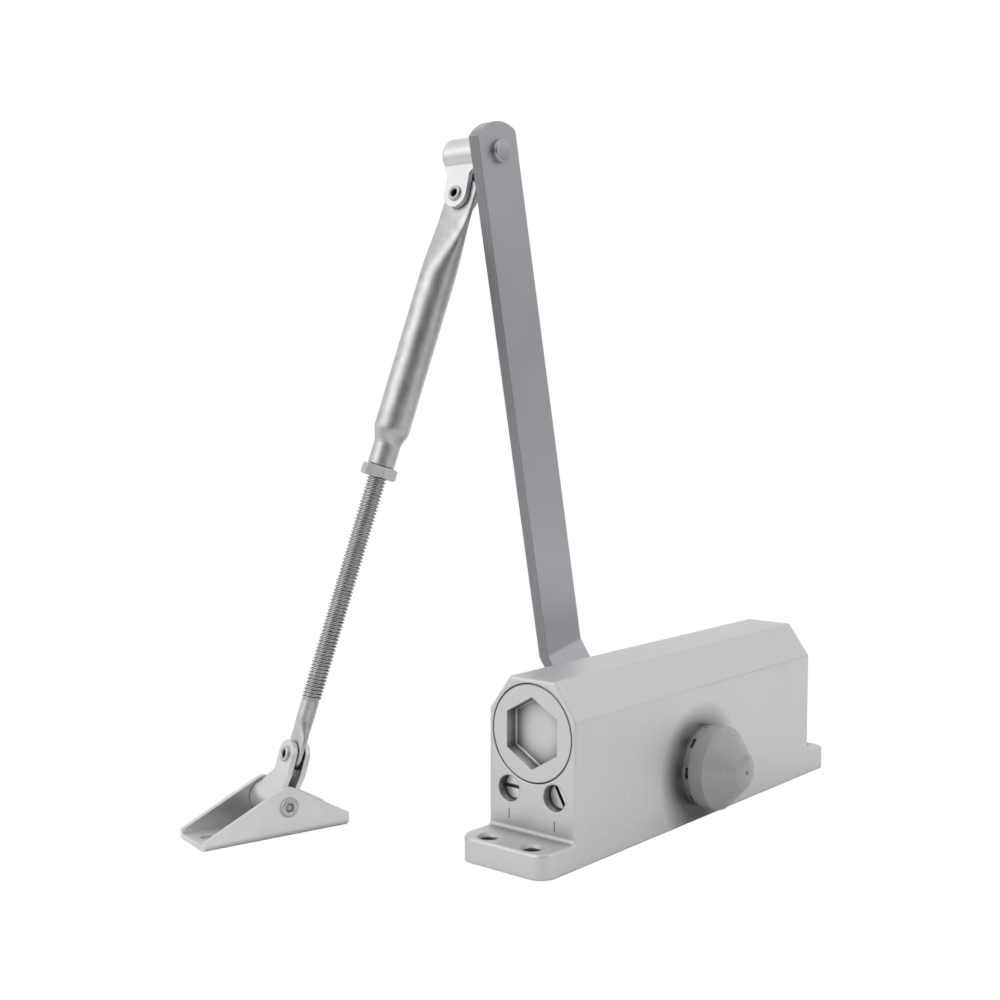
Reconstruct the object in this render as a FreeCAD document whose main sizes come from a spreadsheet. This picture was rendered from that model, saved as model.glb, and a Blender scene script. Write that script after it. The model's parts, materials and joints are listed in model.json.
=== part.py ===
import FreeCAD, Part
import Sketcher
import math
import os
import re
from FreeCAD import Vector

# Surface mounted door closer: rack and pinion body, folding arm and frame shoe.
# Millimetres. The origin lies on the mounting face, under the spindle.
# +X runs along the body to the spring end, +Y along the spindle to the arm, +Z off the door.

sizes = {
    # body casting
    "housing_length": 162.0,
    "housing_width": 38.0,
    "housing_height": 63.0,
    "chamfer_side": 9.3,
    "chamfer_drop": 12.4,
    "housing_edge": 1.2,
    "flange_reach": 17.0,
    "flange_thick": 8.8,
    "flange_corner": 6.0,
    "flange_fillet": 1.4,
    "end_edge": 1.0,
    "mount_reach": 11.5,
    "mount_pair": 19.0,
    "mount_hole": 3.1,
    "mount_sink": 4.2,
    # clearances
    "fit_gap": 0.05,
    "run_gap": 0.05,
    "side_play": 0.15,
    "small_chamfer": 0.5,
    # main bore and its plugs
    "bore_height": 44.0,
    "bore_radius": 15.0,
    "plug_radius": 17.5,
    "plug_depth": 12.0,
    "plug_edge": 0.5,
    "hex_flats": 22.0,
    "hex_depth": 5.0,
    "hex_round": 0.8,
    "plug_seal_wire": 0.9,
    "plug_seal_back": 7.6,
    # pinion and rack
    "spindle_height": 20.0,
    "gear_module": 2.0,
    "gear_teeth": 12.0,
    "pressure_angle": 20.0,
    "gear_addendum": 1.7,
    "rack_addendum": 1.3,
    "tooth_root_gap": 0.4,
    "backlash": 0.2,
    "gear_width": 14.0,
    "gear_room_gap": 0.6,
    "opening_turn": 180.0,
    "collar_radius": 10.0,
    "journal_radius": 7.5,
    "square_flats": 10.0,
    "cap_end_reach": 8.0,
    "arm_seat": 30.0,
    # spindle bearings
    "nut_radius": 15.0,
    "nut_depth": 6.5,
    "nut_proud": 2.5,
    "nut_slot_width": 4.2,
    "nut_slot_depth": 1.8,
    "nut_slots": 8.0,
    "bearing_wall": 1.9,
    "bearing_length": 5.8,
    "seal_length": 2.0,
    "nut_recess_radius": 12.5,
    "nut_recess_depth": 1.0,
    # cap over the spare spindle end
    "cap_radius": 15.6,
    "cap_rim": 6.0,
    "cap_cone": 9.0,
    "cap_nose_radius": 6.6,
    "cap_wall": 1.6,
    "cap_dimple": 0.9,
    "cap_crown": 0.9,
    "cap_nose_bend": 14.0,
    # piston and closing spring
    "piston_end_gap": 1.0,
    "piston_window_spare": 1.4,
    "piston_bridge": 3.5,
    "cup_depth": 9.0,
    "cup_wall": 2.6,
    "oil_way": 2.0,
    "check_chamber": 3.4,
    "check_chamber_depth": 8.0,
    "check_ball_radius": 3.0,
    "check_lift": 0.8,
    "check_way": 1.4,
    "spring_wire": 1.5,
    "spring_turns": 4.0,
    # regulating valves
    "valve_spread": 20.0,
    "valve_height": 23.1,
    "valve_mouth": 4.7,
    "valve_recess": 3.4,
    "valve_head": 4.6,
    "valve_stem": 3.1,
    "valve_stem_length": 4.4,
    "valve_seal_wire": 0.6,
    "valve_needle": 1.8,
    "valve_needle_length": 14.0,
    "valve_slot": 1.3,
    "latch_valve_turn": 60.0,
    "duct_radius": 1.5,
    "port_radius": 1.2,
    "sweep_port": 21.5,
    "latch_port": 13.5,
    # main arm
    "arm_length": 234.4,
    "arm_width": 21.6,
    "arm_thick": 4.5,
    "arm_crank": 11.7,
    "arm_crank_start": 16.0,
    "arm_crank_run": 24.0,
    "arm_bend": 3.0,
    "arm_crown": 4.2,
    "arm_lean_angle": 12.0,
    "arm_screw_shank": 2.9,
    "arm_screw_length": 12.0,
    "arm_screw_head": 5.5,
    "arm_screw_head_height": 3.6,
    "arm_washer_radius": 7.4,
    "arm_washer_thick": 1.4,
    # elbow
    "stud_neck": 3.4,
    "stud_radius": 4.3,
    "stud_head": 4.4,
    "stud_head_height": 2.3,
    "stud_tail": 5.6,
    "stud_tail_height": 1.8,
    "elbow_washer_radius": 5.6,
    "elbow_washer_thick": 3.2,
    # bent straps that make the two universal knuckles
    "strap_thick": 2.0,
    "upper_barrel": 14.2,
    "upper_ear": 10.6,
    "upper_rivet_drop": 16.3,
    "lower_ear": 10.6,
    "lower_rivet_rise": 17.4,
    "lower_offset": 2.9,
    "lower_bend": 11.0,
    "lower_shoulder": 3.0,
    "ear_play": 0.3,
    "rivet_radius": 2.2,
    "rivet_head": 3.1,
    "rivet_head_height": 1.2,
    "rivet_dimple": 1.4,
    # forearm
    "flat_thick": 2.8,
    "tube_radius": 6.65,
    "tube_wall": 1.3,
    "tube_flat_width": 14.6,
    "tube_flat_top": 6.6,
    "tube_flat_low": 8.5,
    "tube_round": 26.0,
    "tube_length": 104.8,
    "swage_length": 6.0,
    "neck_length": 8.3,
    "neck_radius": 5.0,
    "rod_radius": 3.3,
    "thread_height": 0.35,
    "shank_radius": 3.25,
    "shank_length": 21.2,
    "rod_inside": 28.0,
    "rod_chamfer": 1.0,
    "eye_width": 10.6,
    "eye_flat": 7.4,
    "eye_round": 15.0,
    "jam_flats": 12.0,
    "jam_thick": 4.4,
    "forearm_lean_angle": 14.94,
    "forearm_tilt_angle": 9.14,
    # shoe for the door frame
    "shoe_turn_angle": 14.7,
    "shoe_left": 32.75,
    "shoe_right": 24.55,
    "shoe_width": 22.0,
    "shoe_sheet": 2.0,
    "shoe_pin_height": 10.9,
    "shoe_peak": 18.9,
    "shoe_peak_round": 4.0,
    "shoe_left_rise": 3.4,
    "shoe_right_rise": 5.0,
    "shoe_bend": 2.4,
    "shoe_hole": 2.6,
    "shoe_hole_left": 26.85,
    "shoe_hole_right": 18.15,
    "shoe_pin": 3.0,
    "shoe_pin_waist": 4.3,
    "shoe_pin_head": 4.0,
    "shoe_pin_head_height": 1.3,
}

doc = FreeCAD.newDocument("DoorCloser")
sheet = doc.addObject("Spreadsheet::Sheet", "Sizes")
for row, (alias, number) in enumerate(sizes.items(), start=1):
    sheet.set(f"A{row}", alias)
    sheet.set(f"B{row}", str(number))
    sheet.setAlias(f"B{row}", alias)
doc.recompute()

pieces = []


def bound(text):
    # Plain size names in an expression become references to the sheet.
    return re.sub(r"[a-z_]+", lambda word: "Sizes." + word[0] if word[0] in sizes else word[0], text)


def val(text):
    return float(sheet.evalExpression(bound(text)))


def new_body(label, placement=None):
    body = doc.addObject("PartDesign::Body", label)
    body.Label = label
    body.Placement = placement or FreeCAD.Placement()
    pieces.append(body)
    return body


def new_sketch(body, name, plane, offset=("0", "0", "0")):
    sketch = body.newObject("Sketcher::SketchObject", name)
    support = next(f for f in body.Origin.OriginFeatures if f.Role == plane)
    sketch.AttachmentSupport = [(support, "")]
    sketch.MapMode = "FlatFace"
    for axis, text in zip("xyz", offset):
        if text != "0":
            sketch.setExpression("AttachmentOffset.Base." + axis, bound(text))
    return sketch


def pin_constraint(sketch, kind, text, *ends):
    index = sketch.addConstraint(Sketcher.Constraint(kind, *ends, val(text)))
    sketch.setExpression(f"Constraints[{index}]", bound(text))


def draw(sketch, corners):
    # A corner is (x, y), or (x, y, via_x, via_y, radius) where an arc leads on to the next corner.
    spots = [Vector(val(corner[0]), val(corner[1]), 0) for corner in corners]
    ends = []
    for i, corner in enumerate(corners):
        start = spots[i]
        stop = spots[(i + 1) % len(spots)]
        if len(corner) == 2:
            edge = Part.LineSegment(start, stop)
        else:
            edge = Part.ArcOfCircle(start, Vector(val(corner[2]), val(corner[3]), 0), stop)
        key = sketch.addGeometry(edge)
        first = 1 if sketch.getPoint(key, 1).distanceToPoint(start) < 1e-6 else 2
        ends.append((key, first, 3 - first))
    for i, (key, first, last) in enumerate(ends):
        follower = ends[(i + 1) % len(ends)]
        sketch.addConstraint(Sketcher.Constraint("Coincident", key, last, follower[0], follower[1]))
    for corner, (key, first, last) in zip(corners, ends):
        pin_constraint(sketch, "DistanceX", corner[0], -1, 1, key, first)
        pin_constraint(sketch, "DistanceY", corner[1], -1, 1, key, first)
        if len(corner) == 5:
            pin_arc(sketch, corner, key)
    return sketch


def pin_arc(sketch, corner, key):
    # A half circle is held by its centre, any other arc by its radius.
    ends = sketch.getPoint(key, 1), sketch.getPoint(key, 2)
    if abs(ends[0].distanceToPoint(ends[1]) - 2 * val(corner[4])) > 1e-6:
        pin_constraint(sketch, "Radius", corner[4], key)
    elif abs(ends[0].y - ends[1].y) < 1e-6:
        pin_constraint(sketch, "DistanceY", corner[1], -1, 1, key, 3)
    else:
        pin_constraint(sketch, "DistanceX", corner[0], -1, 1, key, 3)


def draw_circle(sketch, x, y, radius):
    key = sketch.addGeometry(Part.Circle(Vector(val(x), val(y), 0), Vector(0, 0, 1), val(radius)))
    pin_constraint(sketch, "DistanceX", x, -1, 1, key, 3)
    pin_constraint(sketch, "DistanceY", y, -1, 1, key, 3)
    pin_constraint(sketch, "Radius", radius, key)
    return sketch


def add_feature(body, kind, name, sketch, length=None, both=False, back=False):
    before = body.Tip.Shape.Volume if kind == "Pocket" else None
    feature = body.newObject("PartDesign::" + kind, name)
    feature.Profile = sketch
    if both:
        feature.SideType = "Symmetric"
    feature.Reversed = back
    if length:
        feature.setExpression("Length", bound(length))
    else:
        feature.Type = "ThroughAll"
    body.Tip = feature
    doc.recompute()
    if before and feature.Shape.Volume > before - 1e-6:
        raise ValueError(f"{body.Label}: {name} cuts nothing")
    return feature


def turn(body, kind, name, sketch, axis):
    feature = body.newObject("PartDesign::" + kind, name)
    feature.Profile = sketch
    feature.ReferenceAxis = (sketch, [axis])
    feature.Angle = 360
    before = feature.BaseFeature.Shape.Volume if kind == "Groove" else None
    body.Tip = feature
    doc.recompute()
    if before and feature.Shape.Volume > before - 1e-6:
        raise ValueError(f"{body.Label}: {name} cuts nothing")
    return feature


def turned(label, corners, placement=None):
    # Round piece about its own Y axis; corners are (radius, place along the axis).
    body = new_body(label, placement)
    sketch = draw(new_sketch(body, label + "_half", "XY_Plane"), corners)
    turn(body, "Revolution", label + "_turn", sketch, "V_Axis")
    return body


def turned_ring(label, radius, wire, placement):
    body = new_body(label, placement)
    sketch = draw_circle(new_sketch(body, label + "_wire", "XY_Plane"), radius, "0", wire)
    turn(body, "Revolution", label + "_turn", sketch, "V_Axis")
    return body


def round_edges(body, name, radius, chosen):
    # Rounds each edge of the body's tip whose middle and direction pass the test.
    base = body.Tip
    edges = enumerate(base.Shape.Edges, start=1)
    names = [f"Edge{i}" for i, edge in edges if chosen(edge.CenterOfMass, edge.BoundBox)]
    feature = body.newObject("PartDesign::Fillet", name)
    feature.Base = (base, names)
    feature.setExpression("Radius", bound(radius))
    body.Tip = feature
    doc.recompute()
    return feature


def repeat(body, kind, name, originals, count, **settings):
    pattern = body.newObject("PartDesign::" + kind, name)
    pattern.Originals = originals
    for key, setting in settings.items():
        setattr(pattern, key, setting)
    pattern.setExpression("Occurrences", bound(count))
    body.Tip = pattern
    doc.recompute()
    return pattern


def frame(origin, x_axis, y_axis, z_axis):
    matrix = FreeCAD.Matrix()
    for row in range(3):
        for column, part in enumerate((x_axis, y_axis, z_axis, origin)):
            setattr(matrix, f"A{row + 1}{column + 1}", part[row])
    return FreeCAD.Placement(matrix)


def along(origin, axis):
    return FreeCAD.Placement(origin, FreeCAD.Rotation(Vector(0, 1, 0), axis))


x_way, y_way, z_way = Vector(1, 0, 0), Vector(0, 1, 0), Vector(0, 0, 1)

# Derived sizes used by several pieces
half_length = "(housing_length / 2)"
half_width = "(housing_width / 2)"
pitch_radius = "(gear_module * gear_teeth / 2)"
gear_tip = f"({pitch_radius} + gear_addendum)"
gear_root = f"({pitch_radius} - rack_addendum - tooth_root_gap)"
rack_pitch = "(pi * gear_module)"
rack_line = f"(bore_height - spindle_height - {pitch_radius})"
stroke = f"({pitch_radius} * opening_turn * pi / 180)"
nut_inner = f"({half_width} - nut_depth)"
nut_face = f"({half_width} + nut_proud)"
piston_left = f"(0 - {half_length} + plug_depth + piston_end_gap)"
window_drop = "(bore_height - bore_radius - spindle_height)"
window_half = f"(sqrt({gear_tip} ^ 2 - {window_drop} ^ 2) + piston_window_spare)"
cup_floor = f"({window_half} + piston_bridge)"
piston_right = f"({cup_floor} + cup_depth)"
spring_seat = f"({half_length} - plug_depth)"
piston_radius = "(bore_radius - run_gap)"
cup_radius = f"({piston_radius} - cup_wall)"
arm_front = "(arm_seat + arm_crank)"
arm_back = f"({arm_front} + arm_thick)"
knuckle_start = f"({arm_back} + elbow_washer_thick + side_play)"
knuckle_middle = f"({knuckle_start} + upper_barrel / 2)"
ear_gap = "(flat_thick / 2 + ear_play)"
ear_outside = f"({ear_gap} + strap_thick)"
lower_barrel = "(shoe_width - 2 * shoe_sheet - 4 * side_play)"
thread_room = "(rod_radius + thread_height + run_gap)"

bore_axis = Vector(0, 0, val("bore_height"))
spindle_axis = Vector(0, 0, val("spindle_height"))


# Body casting with its end flanges, bores and drillings
def make_housing():
    body = new_body("housing")
    shell = draw(new_sketch(body, "end_outline", "YZ_Plane", ("0", "0", f"0 - {half_length}")), [
        (f"0 - {half_width}", "0"),
        (half_width, "0"),
        (half_width, "housing_height - chamfer_drop"),
        (f"{half_width} - chamfer_side", "housing_height"),
        (f"chamfer_side - {half_width}", "housing_height"),
        (f"0 - {half_width}", "housing_height - chamfer_drop"),
    ])
    add_feature(body, "Pad", "body_block", shell, "housing_length")
    reach = f"({half_length} + flange_reach)"
    diagonal = "(flange_corner * (1 - sqrt(2) / 2))"
    corners = []
    for sx, sy in ((1, 1), (-1, 1), (-1, -1), (1, -1)):
        side = [
            (f"{sx} * {reach}", f"{sy} * ({half_width} - flange_corner)"),
            (f"{sx} * ({reach} - flange_corner)", f"{sy} * {half_width}"),
        ]
        if sx * sy < 0:
            side.reverse()
        middle = (f"{sx} * ({reach} - {diagonal})", f"{sy} * ({half_width} - {diagonal})")
        corners.append(side[0] + middle + ("flange_corner",))
        corners.append(side[1])
    foot = draw(new_sketch(body, "foot_outline", "XY_Plane"), corners)
    add_feature(body, "Pad", "mounting_foot", foot, "flange_thick")
    length, width, thick = val(half_length), val(half_width), val("flange_thick")
    crease, top = val("housing_height - chamfer_drop"), val("housing_height")
    round_edges(body, "top_creases", "housing_edge", lambda mid, box: (
        box.XLength > length and (abs(mid.z - crease) < 0.01 or abs(mid.z - top) < 0.01)))
    round_edges(body, "end_roots", "flange_fillet", lambda mid, box: (
        abs(abs(mid.x) - length) < 0.01 and abs(mid.z - thick) < 0.01 and box.YLength > width))
    root = val("flange_fillet") + 0.01
    round_edges(body, "end_rims", "end_edge", lambda mid, box: (
        abs(mid.x) > length - 0.01 and mid.z > thick - 0.01
        and not (box.YLength > width and abs(mid.x) < length + root and mid.z < thick + root)))
    bore_line = ("0", "0", "bore_height")
    bore = draw(new_sketch(body, "bore_half", "XY_Plane", bore_line), [
        (f"0 - {half_length}", "0"),
        (half_length, "0"),
        (half_length, "plug_radius"),
        (f"{half_length} - plug_depth", "plug_radius"),
        (f"{half_length} - plug_depth", "bore_radius"),
        (f"plug_depth - {half_length}", "bore_radius"),
        (f"plug_depth - {half_length}", "plug_radius"),
        (f"0 - {half_length}", "plug_radius"),
    ])
    turn(body, "Groove", "main_bore", bore, "H_Axis")
    room = f"({gear_tip} + gear_room_gap)"
    cross = draw(new_sketch(body, "cross_half", "XY_Plane", ("0", "0", "spindle_height")), [
        ("0", f"0 - {half_width}"),
        ("nut_radius", f"0 - {half_width}"),
        ("nut_radius", f"0 - {nut_inner}"),
        (room, f"0 - {nut_inner}"),
        (room, nut_inner),
        ("nut_radius", nut_inner),
        ("nut_radius", half_width),
        ("0", half_width),
    ])
    turn(body, "Groove", "spindle_bore", cross, "V_Axis")
    for side, sign, port in (("sweep", 1, "sweep_port"), ("latch", -1, "latch_port")):
        place = f"{sign} * valve_spread / 2"
        mouth = f"(0 - {half_length})"
        step = f"({mouth} + valve_recess + valve_head)"
        seat = f"({step} + valve_stem_length + valve_needle_length * 0.8)"
        drilling = draw(new_sketch(body, side + "_half", "XY_Plane", ("0", place, "valve_height")), [
            (mouth, "0"),
            (f"0 - {pitch_radius}", "0"),
            (f"0 - {pitch_radius}", "duct_radius"),
            (seat, "duct_radius"),
            (seat, "valve_stem + run_gap"),
            (step, "valve_stem + run_gap"),
            (step, "valve_mouth"),
            (mouth, "valve_mouth"),
        ])
        turn(body, "Groove", side + "_drilling", drilling, "H_Axis")
        hole = new_sketch(body, side + "_port_spot", "XY_Plane", ("0", "0", "valve_height"))
        draw_circle(hole, f"{mouth} + {port}", place, "port_radius")
        add_feature(body, "Pocket", side + "_port", hole, "bore_height - valve_height", back=True)
    for sx in (-1, 1):
        for sy in (-1, 1):
            spot = (f"{sx} * ({half_length} + mount_reach)", "0", f"{-sy} * mount_pair / 2")
            name = f"mount_{'left' if sx < 0 else 'right'}_{'near' if sy < 0 else 'far'}"
            half = draw(new_sketch(body, name + "_half", "XZ_Plane", spot), [
                ("0", "0"),
                ("mount_hole", "0"),
                ("mount_hole", "flange_thick - (mount_sink - mount_hole)"),
                ("mount_sink", "flange_thick"),
                ("0", "flange_thick"),
            ])
            turn(body, "Groove", name, half, "V_Axis")
    return body


# Plugs that close the main bore, each with a ring seal in its groove
def make_end_plug(label, seal_label, sign):
    placement = along(bore_axis + x_way * sign * val(half_length), x_way * sign)
    outer = "(plug_radius - fit_gap)"
    floor = "(plug_radius - 2 * plug_seal_wire - 2 * fit_gap)"
    low = "(0 - plug_seal_back - plug_seal_wire - fit_gap)"
    high = "(plug_seal_wire + fit_gap - plug_seal_back)"
    body = turned(label, [
        ("0", "0 - plug_depth"),
        (outer, "0 - plug_depth"),
        (outer, low),
        (floor, low),
        (floor, high),
        (outer, high),
        (outer, "0 - plug_edge"),
        (f"{outer} - plug_edge", "0"),
        ("0", "0"),
    ], placement)
    reach = "(hex_flats / sqrt(3))"
    key = draw(new_sketch(body, label + "_hex", "XZ_Plane"), [
        (f"{reach} * {math.sin(math.pi * i / 3):.9f}", f"{reach} * {math.cos(math.pi * i / 3):.9f}")
        for i in range(6)
    ])
    add_feature(body, "Pocket", label + "_key", key, "hex_depth", back=True)
    depth = val("hex_depth")
    round_edges(body, label + "_key_floor", "hex_round", lambda mid, box: abs(mid.y + depth) < 0.01)
    ring_place = along(placement.multVec(Vector(0, -val("plug_seal_back"), 0)), x_way)
    turned_ring(seal_label, "plug_radius - fit_gap - plug_seal_wire", "plug_seal_wire", ring_place)


# Piston with a rack cut across its underside, an oil way and a check valve
def make_piston():
    lip = "(check_chamber - oil_way)"
    body = turned("rack_piston", [
        ("oil_way", cup_floor),
        (cup_radius, cup_floor),
        (cup_radius, piston_right),
        (piston_radius, piston_right),
        (piston_radius, piston_left),
        ("check_chamber", piston_left),
        ("check_chamber", f"{piston_left} + check_chamber_depth"),
        ("oil_way", f"{piston_left} + check_chamber_depth + {lip}"),
    ], along(bore_axis, x_way))
    tip_line = f"(0 - {rack_line} - rack_addendum)"
    root_line = f"(gear_addendum + tooth_root_gap - {rack_line})"
    below = "(0 - bore_radius - 1)"
    flat = draw(new_sketch(body, "rack_flat_outline", "YZ_Plane"), [
        (f"0 - {stroke} - {window_half}", below),
        (window_half, below),
        (window_half, tip_line),
        (f"0 - {stroke} - {window_half}", tip_line),
    ])
    add_feature(body, "Pocket", "rack_flat", flat, "2 * bore_radius", both=True)
    lean = "tan(pressure_angle * 1deg)"
    tip_half = f"({rack_pitch} / 4 + backlash / 2 + rack_addendum * {lean})"
    root_half = f"({rack_pitch} / 4 + backlash / 2 - (gear_addendum + tooth_root_gap) * {lean})"
    spaces = "(floor(opening_turn * gear_teeth / 360) + 3)"
    first = f"(0 - ({spaces} - 2) * {rack_pitch})"
    space = draw(new_sketch(body, "rack_space_outline", "YZ_Plane"), [
        (f"{first} - {tip_half}", below),
        (f"{first} - {tip_half}", tip_line),
        (f"{first} - {root_half}", root_line),
        (f"{first} + {root_half}", root_line),
        (f"{first} + {tip_half}", tip_line),
        (f"{first} + {tip_half}", below),
    ])
    cut = add_feature(body, "Pocket", "rack_space", space, "2 * bore_radius", both=True)
    rail = next(f for f in body.Origin.OriginFeatures if f.Role == "Y_Axis")
    rack = repeat(body, "LinearPattern", "rack_teeth", [cut], spaces, Direction=(rail, [""]))
    rack.setExpression("Length", bound(f"({spaces} - 1) * {rack_pitch}"))
    doc.recompute()


def make_check_valve():
    seat = f"({piston_left} + check_chamber_depth + check_chamber)"
    middle = f"({seat} - sqrt(2) * (check_ball_radius + run_gap))"
    ball = doc.addObject("Part::Sphere", "check_ball")
    ball.setExpression("Radius", bound("check_ball_radius"))
    ball.Placement = FreeCAD.Placement(bore_axis + x_way * val(middle), FreeCAD.Rotation())
    pieces.append(ball)
    stop = f"({middle} - check_ball_radius - check_lift - run_gap)"
    screw = turned("check_valve_screw", [
        ("check_way", piston_left),
        ("check_chamber - fit_gap", piston_left),
        ("check_chamber - fit_gap", stop),
        ("check_way", stop),
    ], along(bore_axis, x_way))
    slot = draw(new_sketch(screw, "check_slot_outline", "YZ_Plane"), [
        (piston_left, "0 - check_way / 2"),
        (f"{piston_left} + check_way / 2", "0 - check_way / 2"),
        (f"{piston_left} + check_way / 2", "check_way / 2"),
        (piston_left, "check_way / 2"),
    ])
    add_feature(screw, "Pocket", "check_slot", slot, "4 * check_chamber", both=True)


# Closing spring between the piston cup and the plug, with ends ground flat
def make_spring():
    room = f"({spring_seat} - {cup_floor})"
    middle = f"({cup_radius} - spring_wire - 6 * run_gap)"
    pitch = f"(({room} - 2 * spring_wire) / spring_turns)"
    start = bore_axis + x_way * val(f"{cup_floor} - spring_wire")
    helix = doc.addObject("Part::Helix", "spring_line")
    helix.setExpression("Pitch", bound(pitch))
    helix.setExpression("Height", bound(f"{room} + 2 * spring_wire"))
    helix.setExpression("Radius", bound(middle))
    helix.SegmentLength = 1.0
    wire = doc.addObject("Part::Circle", "spring_section")
    wire.setExpression("Radius", bound("spring_wire"))
    wire.Placement = FreeCAD.Placement(Vector(val(middle), 0, 0), FreeCAD.Rotation(x_way, 90))
    sweep = doc.addObject("Part::Sweep", "spring_coils")
    sweep.Sections = [wire]
    sweep.Spine = (helix, [])
    sweep.Solid = True
    sweep.Frenet = True
    block = doc.addObject("Part::Cylinder", "spring_room")
    block.setExpression("Radius", bound("bore_radius"))
    block.setExpression("Height", bound(f"{room} - 2 * run_gap"))
    block.Placement = FreeCAD.Placement(Vector(0, 0, val("spring_wire + run_gap")), FreeCAD.Rotation())
    spring = doc.addObject("Part::Common", "closing_spring")
    spring.Base = sweep
    spring.Tool = block
    spring.Placement = FreeCAD.Placement(start, FreeCAD.Rotation(y_way, 90))
    pieces.append(spring)


# Pinion with involute teeth in one piece with its spindle
def involute_turn(radius):
    base = val(pitch_radius) * math.cos(math.radians(val("pressure_angle")))
    angle = math.acos(min(1.0, base / radius))
    return math.tan(angle) - angle


def gear_face():
    pitch, tip, root = val(pitch_radius), val(gear_tip), val(gear_root)
    base = pitch * math.cos(math.radians(val("pressure_angle")))
    teeth = int(val("gear_teeth"))
    half_tooth = math.pi / (2 * teeth) + involute_turn(pitch)
    radii = [base + (tip - base) * step / 4 for step in range(5)]

    def spot(radius, angle):
        return Vector(radius * math.sin(angle), 0, radius * math.cos(angle))

    edges = []
    for tooth in range(teeth):
        middle = 2 * math.pi * tooth / teeth
        valley = middle + math.pi / teeth
        rise = [spot(r, middle - half_tooth + involute_turn(r)) for r in radii]
        fall = [spot(r, middle + half_tooth - involute_turn(r)) for r in reversed(radii)]
        foot_in = spot(root, middle - half_tooth)
        foot_out = spot(root, middle + half_tooth)
        next_foot = spot(root, middle + 2 * math.pi / teeth - half_tooth)
        rise_curve, fall_curve = Part.BSplineCurve(), Part.BSplineCurve()
        rise_curve.interpolate(rise)
        fall_curve.interpolate(fall)
        edges.append(Part.LineSegment(foot_in, rise[0]).toShape())
        edges.append(rise_curve.toShape())
        edges.append(Part.Arc(rise[-1], spot(tip, middle), fall[0]).toShape())
        edges.append(fall_curve.toShape())
        edges.append(Part.LineSegment(fall[-1], foot_out).toShape())
        edges.append(Part.Arc(foot_out, spot(root, valley), next_foot).toShape())
    return Part.Face(Part.Wire(edges))


def make_spindle():
    width = val("gear_width")
    teeth = gear_face()
    teeth.translate(Vector(0, -width / 2, 0))
    solid = teeth.extrude(Vector(0, width, 0))
    shoulder = val(f"{nut_inner} - side_play")
    front = -val(f"{nut_face} + side_play")
    rear = val("arm_seat")
    rounds = [
        ("collar_radius", -shoulder, shoulder),
        ("journal_radius", front, rear),
    ]
    for name, low, high in rounds:
        solid = solid.fuse(Part.makeCylinder(val(name), high - low, Vector(0, low, 0), y_way))
    flats = val("square_flats")
    front_end = front - val("cap_end_reach")
    rear_end = rear + val("arm_thick") - 2 * val("side_play")
    square = Part.makeBox(flats, rear_end - front_end, flats, Vector(-flats / 2, front_end, -flats / 2))
    square.rotate(Vector(), y_way, -val("arm_lean_angle"))
    solid = solid.fuse(square)
    depth = val("arm_screw_length")
    hole = Part.makeCylinder(val("arm_screw_shank + fit_gap"), depth, Vector(0, rear_end - depth, 0), y_way)
    spindle = doc.addObject("Part::Feature", "pinion_spindle")
    spindle.Shape = solid.cut(hole).removeSplitter()
    spindle.Placement = FreeCAD.Placement(spindle_axis, FreeCAD.Rotation())
    pieces.append(spindle)


# Bearing, seal and slotted nut on each side of the pinion
def make_bearing_set(side, sign):
    placement = along(spindle_axis, y_way * sign)
    pocket = "(journal_radius + run_gap + bearing_wall)"
    lip = "(journal_radius + 2 * run_gap)"
    seal_low = f"({nut_inner} + bearing_length + run_gap)"
    seal_high = f"({seal_low} + seal_length)"
    outer = "(nut_radius - fit_gap)"
    nut = turned(side + "_bearing_nut", [
        (f"{pocket} + fit_gap", nut_inner),
        (outer, nut_inner),
        (outer, nut_face),
        ("nut_recess_radius", nut_face),
        ("nut_recess_radius", f"{nut_face} - nut_recess_depth"),
        (lip, f"{nut_face} - nut_recess_depth"),
        (lip, f"{seal_high} + run_gap"),
        (f"{pocket} + fit_gap", f"{seal_high} + run_gap"),
    ], placement)
    notch = draw(new_sketch(nut, side + "_slot_outline", "XZ_Plane", ("0", "0", f"0 - {nut_face}")), [
        ("nut_recess_radius - 1", "0 - nut_slot_width / 2"),
        ("nut_radius + 1", "0 - nut_slot_width / 2"),
        ("nut_radius + 1", "nut_slot_width / 2"),
        ("nut_recess_radius - 1", "nut_slot_width / 2"),
    ])
    cut = add_feature(nut, "Pocket", side + "_slot", notch, "nut_slot_depth", back=True)
    pole = next(f for f in nut.Origin.OriginFeatures if f.Role == "Y_Axis")
    repeat(nut, "PolarPattern", side + "_slots", [cut], "nut_slots", Axis=(pole, [""]), Angle=360)
    turned(side + "_bearing", [
        ("journal_radius + run_gap", nut_inner),
        (pocket, nut_inner),
        (pocket, f"{nut_inner} + bearing_length"),
        ("journal_radius + run_gap", f"{nut_inner} + bearing_length"),
    ], placement)
    turned(side + "_spindle_seal", [
        ("journal_radius + run_gap", seal_low),
        (pocket, seal_low),
        (pocket, seal_high),
        ("journal_radius + run_gap", seal_high),
    ], placement)


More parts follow.
